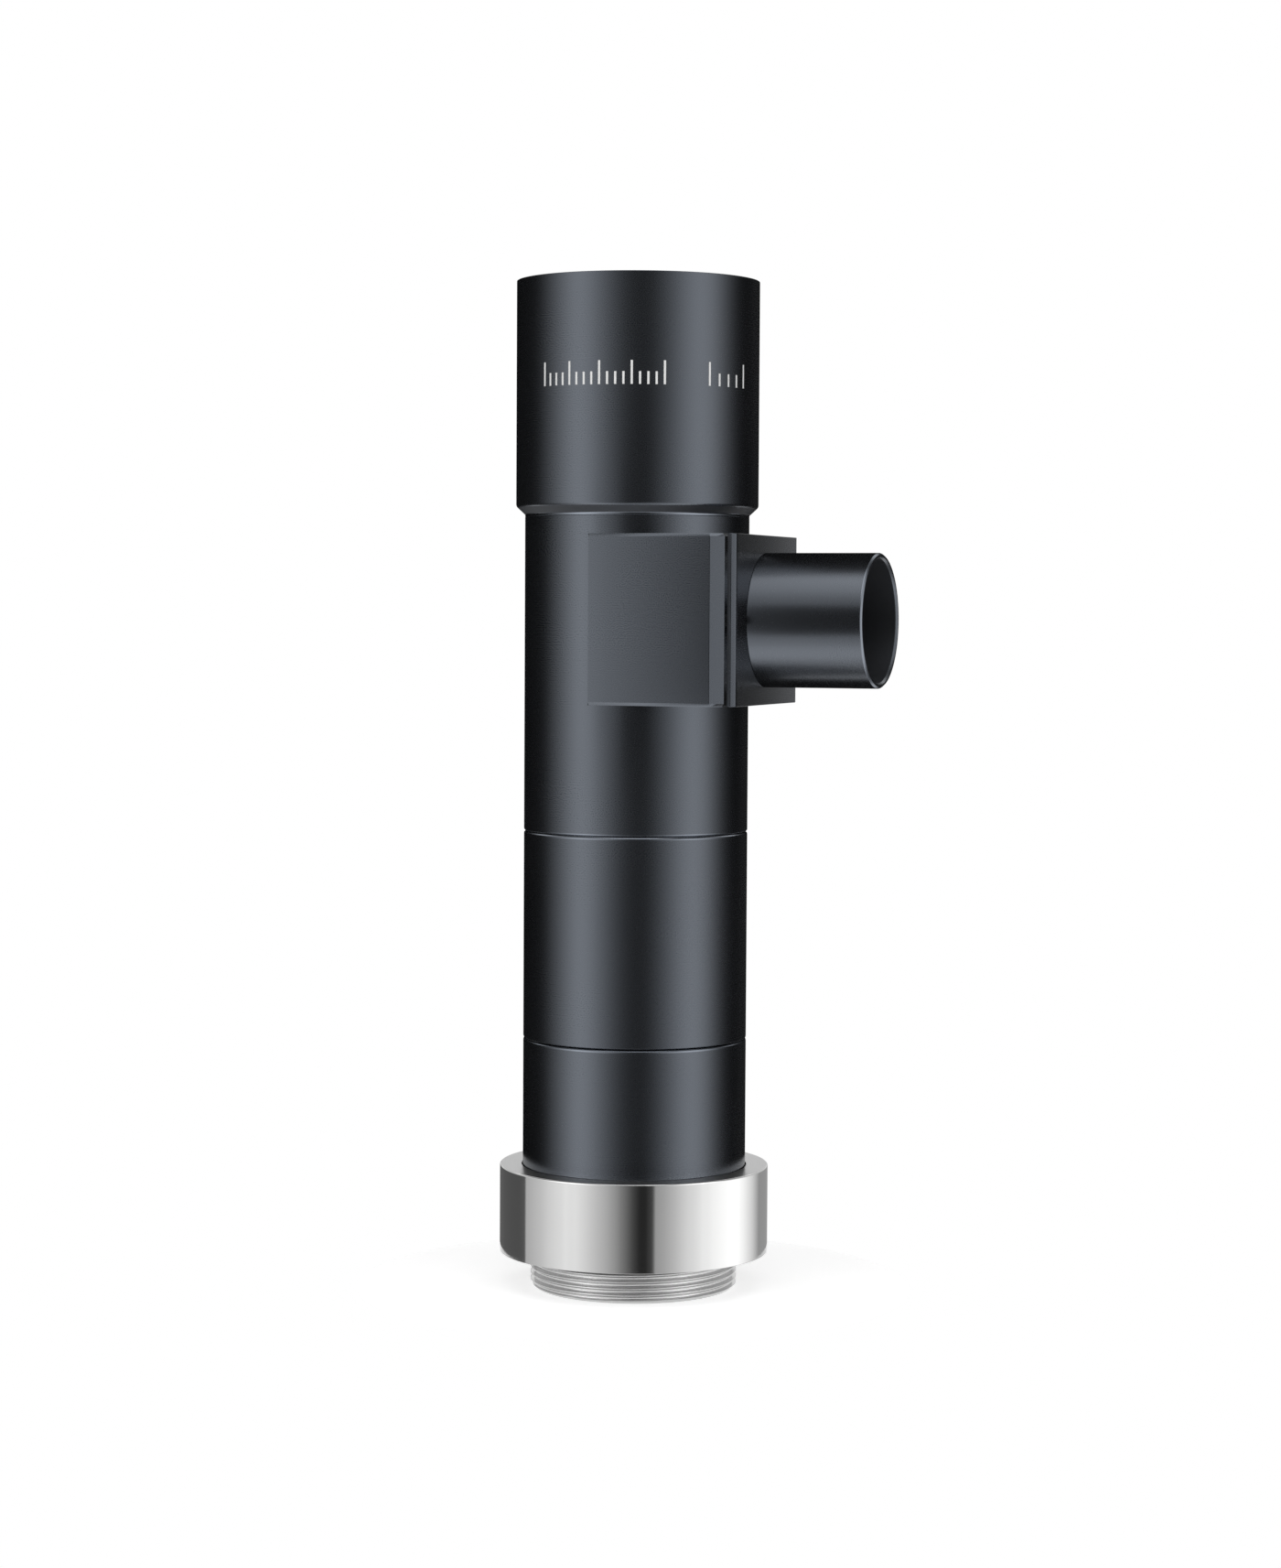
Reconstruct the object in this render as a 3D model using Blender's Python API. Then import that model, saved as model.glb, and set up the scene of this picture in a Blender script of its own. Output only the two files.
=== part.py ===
"""Coaxial telecentric lens with a one-inch camera mount, standing on the end of its mount thread.

The lens axis runs up +Z, from the camera at the bottom to the object at the top. The light port
points along +X. All lengths are in metres.
"""

import math

import bmesh
import bpy

# Clearances and edges
SEAT_GAP = 0.0001  # between a piece and what it seats on
FIT_GAP = 0.0001  # round a piece in its bore, on the radius
EDGE_BREAK = 0.0002  # chamfer on the outer edges of a barrel
CUT_PAST = 0.001  # how far a cutter runs past the face it opens

# Facets round a turned piece
BARREL_FACETS = 48
RING_FACETS = 32
LENS_FACETS = 32
SCREW_FACETS = 12
SURFACE_RINGS = 3  # rings of facets from a lens's centre to its rim

# Camera mount
THREAD_DIAMETER = 0.0254
THREAD_LENGTH = 0.0044
THREAD_CHAMFER = 0.0005
THREAD_DEPTH = 0.0005
RELIEF_WIDTH = 0.0007
MOUNT_DIAMETER = 0.033
MOUNT_HEIGHT = 0.0107
MOUNT_EDGE_BREAK = 0.0003
MOUNT_RECESS_DEPTH = 0.003
MOUNT_FLOOR = 0.0019  # from the camera seat up to the end of the rear barrel's thread
SEAT_CLEARANCE = 0.0004  # between the thread's outside and the seat's inner edge
SEAT_UNDERCUT = 0.0002
NOSE_WALL = 0.0021

# Barrels: the four lengths share the overall length between them, in these proportions
OVERALL_LENGTH = 0.123
BODY_DIAMETER = 0.0274
REAR_LENGTH = 0.0156
MIDDLE_LENGTH = 0.0254
MAIN_LENGTH = 0.0383
HEAD_LENGTH = 0.0273
HEAD_DIAMETER = 0.0296
HEAD_TAPER_LENGTH = 0.0013
JOINT_WALL = 0.0015  # round the threaded counterbore of each joint
SPIGOT_LENGTH = 0.003
SPIGOT_RELIEF = 0.0004  # free depth below a spigot's end

# Retaining rings and the lands that elements rest on
LENS_LAND = 0.00125
RING_HEIGHT = 0.002
RING_THREAD_STEP = 0.0005  # a ring's thread is this much wider than the lens bore, on the radius
RING_THREAD_LEAD = 0.0006  # thread below the ring
RING_LAND = 0.0011
SLOT_WIDTH = 0.0012
SLOT_DEPTH = 0.0007
CEMENT_GAP = 0.0001

# Front group: a cemented doublet, a spacer and a single element
FRONT_LENS_DIAMETER = 0.024
FRONT_SEAT_LIFT = 0.0066  # from the joint with the main barrel up to the doublet's seat
FRONT_FLINT_THICKNESS = 0.0022
FRONT_CROWN_THICKNESS = 0.006
FRONT_SINGLE_THICKNESS = 0.0042
FRONT_BASE_CURVE = 0.12
FRONT_CEMENT_CURVE = 0.035
FRONT_CROWN_CURVE = 0.045
FRONT_SINGLE_CURVE = 0.06
FRONT_SPACER_HEIGHT = 0.0023
FILTER_BORE_DIAMETER = 0.0266
FILTER_FLOOR_STEP = 0.0008  # from the front ring up to the floor of the filter thread

# Light port and beamsplitter
MAIN_BORE_DIAMETER = 0.022
CUBE_SIZE = 0.014
CUBE_GAP = 0.0001
CELL_RIM = 0.0003  # the cell stands this far above the cube
CELL_FLOOR_THICKNESS = 0.0012
CELL_RING_HEIGHT = 0.0015
CELL_WINDOW_DIAMETER = 0.0124
LIGHT_TRAP_DIAMETER = 0.011
LIGHT_TRAP_DEPTH = 0.002
BLOCK_WIDTH = 0.0273
BLOCK_HEIGHT = 0.0204
BLOCK_REACH = 0.0155  # from the lens axis to the block's end face
BLOCK_CHAMFER = 0.0014
FLAT_RUN = 0.0028  # how far the milled flats run back past the lens axis
PLATE_WIDTH = 0.0244
PLATE_THICKNESS = 0.0012
PLATE_CHAMFER = 0.0007
CONDENSER_DIAMETER = 0.015
CONDENSER_THICKNESS = 0.0036
CONDENSER_CURVE = 0.014
CONDENSER_SEAT = 0.0123  # from the lens axis
CONDENSER_LAND = 0.0012
SLEEVE_DIAMETER = 0.0162
SLEEVE_WALL = 0.0007
SLEEVE_EDGE_BREAK = 0.0001
SLEEVE_LENGTH = 0.0141
SLEEVE_SPIGOT_WALL = 0.0007
DOWEL_DIAMETER = 0.0015
DOWEL_LENGTH = 0.0033
DOWEL_INSET = 0.002  # from the plate's sides
DOWEL_IN_PLATE = 0.0006
GRUB_DIAMETER = 0.002
GRUB_LENGTH = 0.0024
GRUB_SPACING = 0.009  # along the barrel
GRUB_SOCKET_WIDTH = 0.0009
GRUB_SOCKET_DEPTH = 0.001

# Aperture stop
STOP_LIFT = 0.0095  # from the foot of the main barrel up to the stop's seat
STOP_THICKNESS = 0.0008
STOP_HOLE_DIAMETER = 0.0062
STOP_LAND = 0.0014

# Rear doublet, in the middle barrel
DOUBLET_DIAMETER = 0.02
DOUBLET_SEAT_LIFT = 0.0163  # from the foot of the middle barrel
DOUBLET_FLINT_THICKNESS = 0.0018
DOUBLET_CROWN_THICKNESS = 0.0052
DOUBLET_CEMENT_CURVE = 0.03
DOUBLET_CROWN_CURVE = 0.04

# Rear element and baffle, in the rear barrel
REAR_LENS_DIAMETER = 0.018
REAR_LENS_THICKNESS = 0.002
REAR_TOP_CURVE = 0.045
REAR_BASE_CURVE = 0.05
REAR_SEAT_LIFT = 0.0019  # from the top of the camera mount
BAFFLE_LIFT = 0.0089  # from the top of the camera mount
BAFFLE_DIAMETER = 0.0206
BAFFLE_HEIGHT = 0.0024
BAFFLE_RIM = 0.0016
BAFFLE_WEB = 0.0007
BAFFLE_HOLE_DIAMETER = 0.012

# Heights of the joints, from the end of the mount thread
MOUNT_TOP_Z = THREAD_LENGTH + MOUNT_HEIGHT
BARREL_SPAN = OVERALL_LENGTH - MOUNT_TOP_Z - HEAD_TAPER_LENGTH
STRETCH = BARREL_SPAN / (REAR_LENGTH + MIDDLE_LENGTH + MAIN_LENGTH + HEAD_LENGTH)
REAR_TOP_Z = MOUNT_TOP_Z + REAR_LENGTH * STRETCH
MIDDLE_TOP_Z = REAR_TOP_Z + MIDDLE_LENGTH * STRETCH
MAIN_TOP_Z = MIDDLE_TOP_Z + MAIN_LENGTH * STRETCH
HEAD_BASE_Z = MAIN_TOP_Z + HEAD_TAPER_LENGTH
FRONT_Z = OVERALL_LENGTH

# Radii and depths that more than one piece shares
BODY_RADIUS = BODY_DIAMETER / 2
COUNTERBORE_RADIUS = BODY_RADIUS - JOINT_WALL
COUNTERBORE_DEPTH = SPIGOT_LENGTH + SPIGOT_RELIEF
SPIGOT_RADIUS = COUNTERBORE_RADIUS - FIT_GAP
MAIN_BORE_RADIUS = MAIN_BORE_DIAMETER / 2
NOSE_RADIUS = THREAD_DIAMETER / 2 - NOSE_WALL
MOUNT_THREAD_RADIUS = NOSE_RADIUS + 0.0011
MOUNT_THREAD_Z = THREAD_LENGTH + MOUNT_FLOOR

# The beamsplitter's cell hangs below the joint with the front barrel, and the port is on the cube
CELL_RING_TOP_Z = MAIN_TOP_Z - COUNTERBORE_DEPTH - SEAT_GAP
CELL_TOP_Z = CELL_RING_TOP_Z - CELL_RING_HEIGHT - SEAT_GAP
PORT_Z = CELL_TOP_Z - CELL_RIM - CUBE_SIZE / 2
CELL_POCKET_Z = PORT_Z - CUBE_SIZE / 2 - CUBE_GAP
CELL_BASE_Z = CELL_POCKET_Z - CELL_FLOOR_THICKNESS
CELL_RADIUS = MAIN_BORE_RADIUS - FIT_GAP

# Along the light port, from the lens axis
PLATE_BACK = BLOCK_REACH + SEAT_GAP
PLATE_FACE = PLATE_BACK + PLATE_THICKNESS
SLEEVE_BASE = PLATE_FACE + SEAT_GAP
SLEEVE_END = SLEEVE_BASE + SLEEVE_LENGTH
CONDENSER_RADIUS = CONDENSER_DIAMETER / 2
PORT_BORE_RADIUS = CONDENSER_RADIUS + 2 * FIT_GAP
SLEEVE_SPIGOT_RADIUS = PORT_BORE_RADIUS - FIT_GAP
DOWEL_REACH = PLATE_WIDTH / 2 - DOWEL_INSET

# The origin is under the middle of the whole part's box, so the lens axis stands to one side
AXIS_X = (MOUNT_DIAMETER / 2 - SLEEVE_END) / 2


def finish(name, colour, roughness, metallic):
    """A plain Principled material for one finish of the lens."""
    material = bpy.data.materials.new(name)
    material.use_nodes = True
    shader = material.node_tree.nodes["Principled BSDF"]
    shader.inputs["Base Color"].default_value = (*colour, 1)
    shader.inputs["Roughness"].default_value = roughness
    shader.inputs["Metallic"].default_value = metallic
    material.diffuse_color = (*colour, 1)
    return material


def axis(name, location, rotation=(0, 0, 0), parent=None):
    """An empty that carries the pieces along one optical axis."""
    empty = bpy.data.objects.new(name, None)
    bpy.context.scene.collection.objects.link(empty)
    empty.location = location
    empty.rotation_euler = rotation
    empty.parent = parent
    return empty


def placed(name, bm, material, parent, location=(0, 0, 0), rotation=(0, 0, 0)):
    """Makes the object of a finished bmesh, with smooth rounds and crisp edges."""
    mesh = bpy.data.meshes.new(name)
    bmesh.ops.recalc_face_normals(bm, faces=bm.faces)
    bm.to_mesh(mesh)
    bm.free()
    mesh.shade_smooth()
    mesh.set_sharp_from_angle(angle=math.radians(30))
    if material:
        mesh.materials.append(material)
    obj = bpy.data.objects.new(name, mesh)
    bpy.context.scene.collection.objects.link(obj)
    obj.parent = parent
    obj.location = location
    obj.rotation_euler = rotation
    return obj


def broken(corners, closed):
    """The section's points, with a chamfer at each corner that names one as its third value."""
    points = []
    for i, corner in enumerate(corners):
        radius, z = corner[:2]
        size = corner[2] if len(corner) > 2 else 0
        if not size:
            points.append((radius, z))
            continue
        for other in (corners[i - 1], corners[(i + 1) % len(corners)]):
            away = (other[0] - radius, other[1] - z)
            share = size / math.hypot(*away)
            points.append((radius + away[0] * share, z + away[1] * share))
    return points + points[:1] if closed else points


def turned(name, corners, material, parent, facets=BARREL_FACETS, **place):
    """A turned piece: its half section of (radius, height, chamfer) corners, spun about the axis.

    A section that starts and ends on the axis makes a solid piece, and any other a ring.
    """
    solid = corners[0][0] == 0 and corners[-1][0] == 0
    points = broken(corners, closed=not solid)
    bm = bmesh.new()
    section = [bm.verts.new((radius, 0, z)) for radius, z in points]
    lines = [bm.edges.new(pair) for pair in zip(section, section[1:])]
    bmesh.ops.spin(
        bm,
        geom=section + lines,
        axis=(0, 0, 1),
        cent=(0, 0, 0),
        angle=math.tau,
        steps=facets,
    )
    bmesh.ops.remove_doubles(bm, verts=bm.verts, dist=1e-7)
    return placed(name, bm, material, parent, **place)


def extruded(name, plan, height, material, parent, base=0, **place):
    """A prism: a plan of (x, y) points at the height of its base, pulled up along Z."""
    bm = bmesh.new()
    face = bm.faces.new([bm.verts.new((x, y, base)) for x, y in plan])
    pulled = bmesh.ops.extrude_face_region(bm, geom=[face])
    raised = [item for item in pulled["geom"] if isinstance(item, bmesh.types.BMVert)]
    bmesh.ops.translate(bm, verts=raised, vec=(0, 0, height))
    return placed(name, bm, material, parent, **place)


def box(name, low, high, material, parent, **place):
    """A block between two corners."""
    (x0, y0, z0), (x1, y1, z1) = low, high
    plan = [(x0, y0), (x1, y0), (x1, y1), (x0, y1)]
    return extruded(name, plan, z1 - z0, material, parent, z0, **place)


def cut(target, tool, operation="DIFFERENCE"):
    """Cuts the tool out of the target, or joins it on, and leaves the tool as a hidden helper."""
    tool.hide_render = True
    tool.display_type = "WIRE"
    modifier = target.modifiers.new(tool.name, "BOOLEAN")
    modifier.operation = operation
    modifier.solver = "EXACT"
    modifier.object = tool


def height_at(surface, radius):
    """Height of a ground surface (vertex height, curve) at a radius.

    A positive curve is a dome, a negative one a bowl and 0 a flat.
    """
    vertex, curve = surface
    if not curve:
        return vertex
    sag = abs(curve) - math.sqrt(curve**2 - radius**2)
    return vertex - math.copysign(sag, curve)


def element(name, top, base, diameter, parent, facets=LENS_FACETS):
    """A ground element between two surfaces of (vertex height, curve)."""
    radii = [diameter / 2 * i / SURFACE_RINGS for i in range(SURFACE_RINGS + 1)]
    over = radii if top[1] else [0, radii[-1]]
    under = radii if base[1] else [0, radii[-1]]
    section = [(radius, height_at(top, radius)) for radius in over]
    section += [(radius, height_at(base, radius)) for radius in reversed(under)]
    return turned(name, section, GLASS, parent, facets)


def retaining_ring(name, outer, inner, base, height, parent, slots_up=True):
    """A threaded ring with two slots across one face, for a spanner."""
    section = [(outer, base + height), (outer, base), (inner, base), (inner, base + height)]
    ring = turned(name, section, BLACK_ANODISED, parent, RING_FACETS)
    floor = base + height - SLOT_DEPTH if slots_up else base - CUT_PAST
    roof = base + height + CUT_PAST if slots_up else base + SLOT_DEPTH
    for number, side in ((1, -1), (2, 1)):
        near, far = sorted((side * inner / 2, side * (outer + CUT_PAST)))
        low = (near, -SLOT_WIDTH / 2, floor)
        high = (far, SLOT_WIDTH / 2, roof)
        cut(ring, box(f"{name}_slot_{number}", low, high, None, parent))
    return ring


def front_group(parent):
    """The front barrel, and the doublet, spacer, single element and ring that it holds."""
    land_radius = FRONT_LENS_DIAMETER / 2 - LENS_LAND
    ring_radius = FRONT_LENS_DIAMETER / 2 - RING_LAND
    seat = MAIN_TOP_Z + FRONT_SEAT_LIFT

    flint_rise = height_at((0, -FRONT_BASE_CURVE), land_radius)
    flint_base = (seat + SEAT_GAP - flint_rise, -FRONT_BASE_CURVE)
    flint_top = (flint_base[0] + FRONT_FLINT_THICKNESS, -FRONT_CEMENT_CURVE)
    crown_base = (flint_top[0] + CEMENT_GAP, -FRONT_CEMENT_CURVE)
    crown_top = (crown_base[0] + FRONT_CROWN_THICKNESS, FRONT_CROWN_CURVE)
    spacer_base = height_at(crown_top, ring_radius) + SEAT_GAP
    single_base = (spacer_base + FRONT_SPACER_HEIGHT + SEAT_GAP, 0)
    single_top = (single_base[0] + FRONT_SINGLE_THICKNESS, FRONT_SINGLE_CURVE)
    ring_base = height_at(single_top, ring_radius) + SEAT_GAP

    element("front_doublet_flint", flint_top, flint_base, FRONT_LENS_DIAMETER, parent)
    element("front_doublet_crown", crown_top, crown_base, FRONT_LENS_DIAMETER, parent)
    element("front_element", single_top, single_base, FRONT_LENS_DIAMETER, parent)
    spacer = [
        (FRONT_LENS_DIAMETER / 2, spacer_base + FRONT_SPACER_HEIGHT),
        (FRONT_LENS_DIAMETER / 2, spacer_base),
        (ring_radius, spacer_base),
        (ring_radius, spacer_base + FRONT_SPACER_HEIGHT),
    ]
    turned("front_spacer_ring", spacer, BLACK_ANODISED, parent, RING_FACETS)

    lens_bore = FRONT_LENS_DIAMETER / 2 + FIT_GAP
    ring_thread = lens_bore + RING_THREAD_STEP
    retaining_ring(
        "front_retaining_ring",
        ring_thread - FIT_GAP,
        ring_radius,
        ring_base,
        RING_HEIGHT,
        parent,
    )

    joint = MAIN_TOP_Z + SEAT_GAP
    spigot_end = MAIN_TOP_Z - SPIGOT_LENGTH
    thread_base = ring_base - RING_THREAD_LEAD
    filter_floor = ring_base + RING_HEIGHT + FILTER_FLOOR_STEP
    filter_radius = FILTER_BORE_DIAMETER / 2
    section = [
        (HEAD_DIAMETER / 2, FRONT_Z, EDGE_BREAK),
        (HEAD_DIAMETER / 2, HEAD_BASE_Z, EDGE_BREAK),
        (BODY_RADIUS, joint, EDGE_BREAK / 2),
        (SPIGOT_RADIUS, joint),
        (SPIGOT_RADIUS, spigot_end, EDGE_BREAK),
        (land_radius, spigot_end),
        (land_radius, seat),
        (lens_bore, seat),
        (lens_bore, thread_base),
        (ring_thread, thread_base),
        (ring_thread, filter_floor),
        (filter_radius, filter_floor),
        (filter_radius, FRONT_Z, EDGE_BREAK),
    ]
    turned("front_barrel", section, BLACK_ANODISED, parent)


def main_barrel(lens_axis, light_axis):
    """The barrel with the light port's block on its side, bored for the beamsplitter's cell."""
    blank = [
        (0, MAIN_TOP_Z),
        (BODY_RADIUS, MAIN_TOP_Z, EDGE_BREAK),
        (BODY_RADIUS, MIDDLE_TOP_Z + SEAT_GAP, EDGE_BREAK),
        (0, MIDDLE_TOP_Z + SEAT_GAP),
    ]
    barrel = turned("main_barrel", blank, BLACK_ANODISED, lens_axis)

    half_width = BLOCK_WIDTH / 2
    shoulder = BLOCK_REACH - BLOCK_CHAMFER
    plan = [
        (0, -half_width),
        (shoulder, -half_width),
        (BLOCK_REACH, BLOCK_CHAMFER - half_width),
        (BLOCK_REACH, half_width - BLOCK_CHAMFER),
        (shoulder, half_width),
        (0, half_width),
    ]
    block_base = PORT_Z - BLOCK_HEIGHT / 2
    cut(barrel, extruded("port_block", plan, BLOCK_HEIGHT, None, lens_axis, block_base), "UNION")
    for name, side in (("near_flat", -1), ("far_flat", 1)):
        inner, outer = sorted((side * half_width, side * (BODY_RADIUS + CUT_PAST)))
        low = (-FLAT_RUN, inner, block_base)
        high = (shoulder, outer, block_base + BLOCK_HEIGHT)
        cut(barrel, box(name, low, high, None, lens_axis))

    stop_seat = MIDDLE_TOP_Z + STOP_LIFT
    cell_seat = CELL_BASE_Z - SEAT_GAP
    land_radius = MAIN_BORE_RADIUS - STOP_LAND
    bore = [
        (0, MAIN_TOP_Z + CUT_PAST),
        (COUNTERBORE_RADIUS, MAIN_TOP_Z + CUT_PAST),
        (COUNTERBORE_RADIUS, MAIN_TOP_Z - COUNTERBORE_DEPTH),
        (MAIN_BORE_RADIUS, MAIN_TOP_Z - COUNTERBORE_DEPTH),
        (MAIN_BORE_RADIUS, cell_seat),
        (land_radius, cell_seat),
        (land_radius, stop_seat),
        (MAIN_BORE_RADIUS, stop_seat),
        (MAIN_BORE_RADIUS, MIDDLE_TOP_Z + COUNTERBORE_DEPTH),
        (COUNTERBORE_RADIUS, MIDDLE_TOP_Z + COUNTERBORE_DEPTH),
        (COUNTERBORE_RADIUS, MIDDLE_TOP_Z - CUT_PAST),
        (0, MIDDLE_TOP_Z - CUT_PAST),
    ]
    cut(barrel, turned("main_bore", bore, None, lens_axis))

    window_radius = CONDENSER_RADIUS - CONDENSER_LAND
    port = [
        (0, BLOCK_REACH + CUT_PAST),
        (PORT_BORE_RADIUS, BLOCK_REACH + CUT_PAST),
        (PORT_BORE_RADIUS, CONDENSER_SEAT),
        (window_radius, CONDENSER_SEAT),
        (window_radius, 0),
        (0, 0),
    ]
    cut(barrel, turned("port_bore", port, None, light_axis, RING_FACETS))

    for name, side in DOWELS:
        hole = pin_section(DOWEL_DIAMETER / 2 + FIT_GAP, dowel_base() - SEAT_GAP, BLOCK_REACH + CUT_PAST)
        place = (0, side * DOWEL_REACH, 0)
        cut(barrel, turned(f"{name}_hole", hole, None, light_axis, SCREW_FACETS, location=place))
    for name, side in GRUB_SCREWS:
        hole = pin_section(GRUB_DIAMETER / 2 + FIT_GAP, -BODY_RADIUS - CUT_PAST, CUT_PAST - MAIN_BORE_RADIUS)
        place = (side * GRUB_SPACING / 2, 0, 0)
        cut(barrel, turned(f"{name}_hole", hole, None, light_axis, SCREW_FACETS, location=place))
    return barrel


def pin_section(radius, base, top):
    """Half section of a plain pin or drilled hole."""
    return [(0, top), (radius, top), (radius, base), (0, base)]


def dowel_base():
    """How far from the lens axis the dowels start, in the block."""
    return PLATE_BACK + DOWEL_IN_PLATE - DOWEL_LENGTH


def beamsplitter(lens_axis, light_axis):
    """Two cemented prisms in a square pocket, in a cell that a ring clamps against its seat."""
    cell_section = [
        (0, CELL_TOP_Z),
        (CELL_RADIUS, CELL_TOP_Z, EDGE_BREAK),
        (CELL_RADIUS, CELL_BASE_Z, EDGE_BREAK),
        (0, CELL_BASE_Z),
    ]
    cell = turned("beamsplitter_cell", cell_section, BLACK_ANODISED, lens_axis, RING_FACETS)
    pocket = CUBE_SIZE / 2 + CUBE_GAP
    top = CELL_TOP_Z + CUT_PAST
    cut(cell, box("cube_pocket", (-pocket, -pocket, CELL_POCKET_Z), (pocket, pocket, top), None, lens_axis))
    window = pin_section(CELL_WINDOW_DIAMETER / 2, CELL_BASE_Z - CUT_PAST, PORT_Z)
    cut(cell, turned("camera_window", window, None, lens_axis, RING_FACETS))
    window = pin_section(CELL_WINDOW_DIAMETER / 2, 0, CELL_RADIUS + CUT_PAST)
    cut(cell, turned("light_window", window, None, light_axis, RING_FACETS))
    trap = [(0, 0), (LIGHT_TRAP_DIAMETER / 2, 0), (LIGHT_TRAP_DIAMETER / 2, -pocket), (0, -pocket - LIGHT_TRAP_DEPTH)]
    cut(cell, turned("light_trap", trap, None, light_axis, RING_FACETS))

    # Each prism's section is a right triangle in the plane of both axes, and the two meet at 45 degrees
    half = CUBE_SIZE / 2
    slant = CEMENT_GAP / math.sqrt(2)
    upright = (math.radians(90), 0, 0)
    place = {"location": (0, half, PORT_Z), "rotation": upright}
    upper = [(half, half), (slant - half + CEMENT_GAP, half), (half, slant - half + CEMENT_GAP)]
    lower = [(-half, -half), (half - slant - CEMENT_GAP, -half), (-half, half - slant - CEMENT_GAP)]
    extruded("beamsplitter_upper_prism", upper, CUBE_SIZE, GLASS, lens_axis, **place)
    extruded("beamsplitter_lower_prism", lower, CUBE_SIZE, GLASS, lens_axis, **place)
    retaining_ring(
        "beamsplitter_retaining_ring",
        CELL_RADIUS,
        CELL_RADIUS - LENS_LAND - RING_LAND,
        CELL_TOP_Z + SEAT_GAP,
        CELL_RING_HEIGHT,
        lens_axis,
    )
    for name, side in GRUB_SCREWS:
        grub_screw(name, (side * GRUB_SPACING / 2, 0, 0), light_axis)


def grub_screw(name, place, light_axis):
    """A socket set screw through the barrel's back wall, its tip on the beamsplitter's cell."""
    tip = -CELL_RADIUS - SEAT_GAP
    head = tip - GRUB_LENGTH
    body = [(0, tip), (GRUB_DIAMETER / 2, tip, EDGE_BREAK), (GRUB_DIAMETER / 2, head), (0, head)]
    screw = turned(name, body, BLACK_STEEL, light_axis, SCREW_FACETS, location=place)
    across_corners = GRUB_SOCKET_WIDTH / math.cos(math.radians(30))
    socket = pin_section(across_corners / 2, head - CUT_PAST, head + GRUB_SOCKET_DEPTH)
    cut(screw, turned(f"{name}_socket", socket, None, light_axis, 6, location=place))


def light_port(light_axis):
    """The end plate, the sleeve that clamps it and the condenser, and the dowels that square it."""
    half_width = PLATE_WIDTH / 2
    half_height = BLOCK_HEIGHT / 2
    plan = [
        (PLATE_BACK, -half_width),
        (PLATE_FACE - PLATE_CHAMFER, -half_width),
        (PLATE_FACE, PLATE_CHAMFER - half_width),
        (PLATE_FACE, half_width - PLATE_CHAMFER),
        (PLATE_FACE - PLATE_CHAMFER, half_width),
        (PLATE_BACK, half_width),
    ]
    plate = extruded(
        "light_port_plate",
        plan,
        BLOCK_HEIGHT,
        BLACK_ANODISED,
        light_axis,
        location=(half_height, 0, 0),
        rotation=(0, math.radians(-90), 0),
    )
    opening = pin_section(PORT_BORE_RADIUS, PLATE_BACK - CUT_PAST, PLATE_FACE + CUT_PAST)
    cut(plate, turned("plate_opening", opening, None, light_axis, RING_FACETS))
    dowel_top = dowel_base() + DOWEL_LENGTH
    for name, side in DOWELS:
        place = (0, side * DOWEL_REACH, 0)
        hole = pin_section(DOWEL_DIAMETER / 2 + FIT_GAP, PLATE_BACK - CUT_PAST, dowel_top + SEAT_GAP)
        cut(plate, turned(f"{name}_plate_hole", hole, None, light_axis, SCREW_FACETS, location=place))
        pin = pin_section(DOWEL_DIAMETER / 2, dowel_base(), dowel_top)
        turned(name, pin, BLACK_STEEL, light_axis, SCREW_FACETS, location=place)

    flat_side = (CONDENSER_SEAT + SEAT_GAP, 0)
    domed_side = (flat_side[0] + CONDENSER_THICKNESS, CONDENSER_CURVE)
    element("condenser_lens", domed_side, flat_side, CONDENSER_DIAMETER, light_axis)

    sleeve_radius = SLEEVE_DIAMETER / 2
    bore = sleeve_radius - SLEEVE_WALL
    spigot_bore = SLEEVE_SPIGOT_RADIUS - SLEEVE_SPIGOT_WALL
    spigot_end = height_at(domed_side, spigot_bore) + SEAT_GAP
    section = [
        (sleeve_radius, SLEEVE_END, SLEEVE_EDGE_BREAK),
        (sleeve_radius, SLEEVE_BASE),
        (SLEEVE_SPIGOT_RADIUS, SLEEVE_BASE),
        (SLEEVE_SPIGOT_RADIUS, spigot_end),
        (spigot_bore, spigot_end),
        (spigot_bore, SLEEVE_BASE + SLEEVE_WALL),
        (bore, SLEEVE_BASE + SLEEVE_WALL),
        (bore, SLEEVE_END, SLEEVE_EDGE_BREAK),
    ]
    turned("light_port_sleeve", section, BLACK_ANODISED, light_axis, RING_FACETS)


def aperture_stop(parent):
    """The thin stop with its bevelled hole, and the ring that holds it up against its seat."""
    top = MIDDLE_TOP_Z + STOP_LIFT - SEAT_GAP
    base = top - STOP_THICKNESS
    hole = STOP_HOLE_DIAMETER / 2
    section = [(CELL_RADIUS, top), (CELL_RADIUS, base), (hole + STOP_THICKNESS, base), (hole, top)]
    turned("aperture_stop", section, BLACK_ANODISED, parent, RING_FACETS)
    retaining_ring(
        "stop_retaining_ring",
        CELL_RADIUS,
        CELL_RADIUS - LENS_LAND,
        base - SEAT_GAP - RING_HEIGHT,
        RING_HEIGHT,
        parent,
        slots_up=False,
    )


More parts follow.
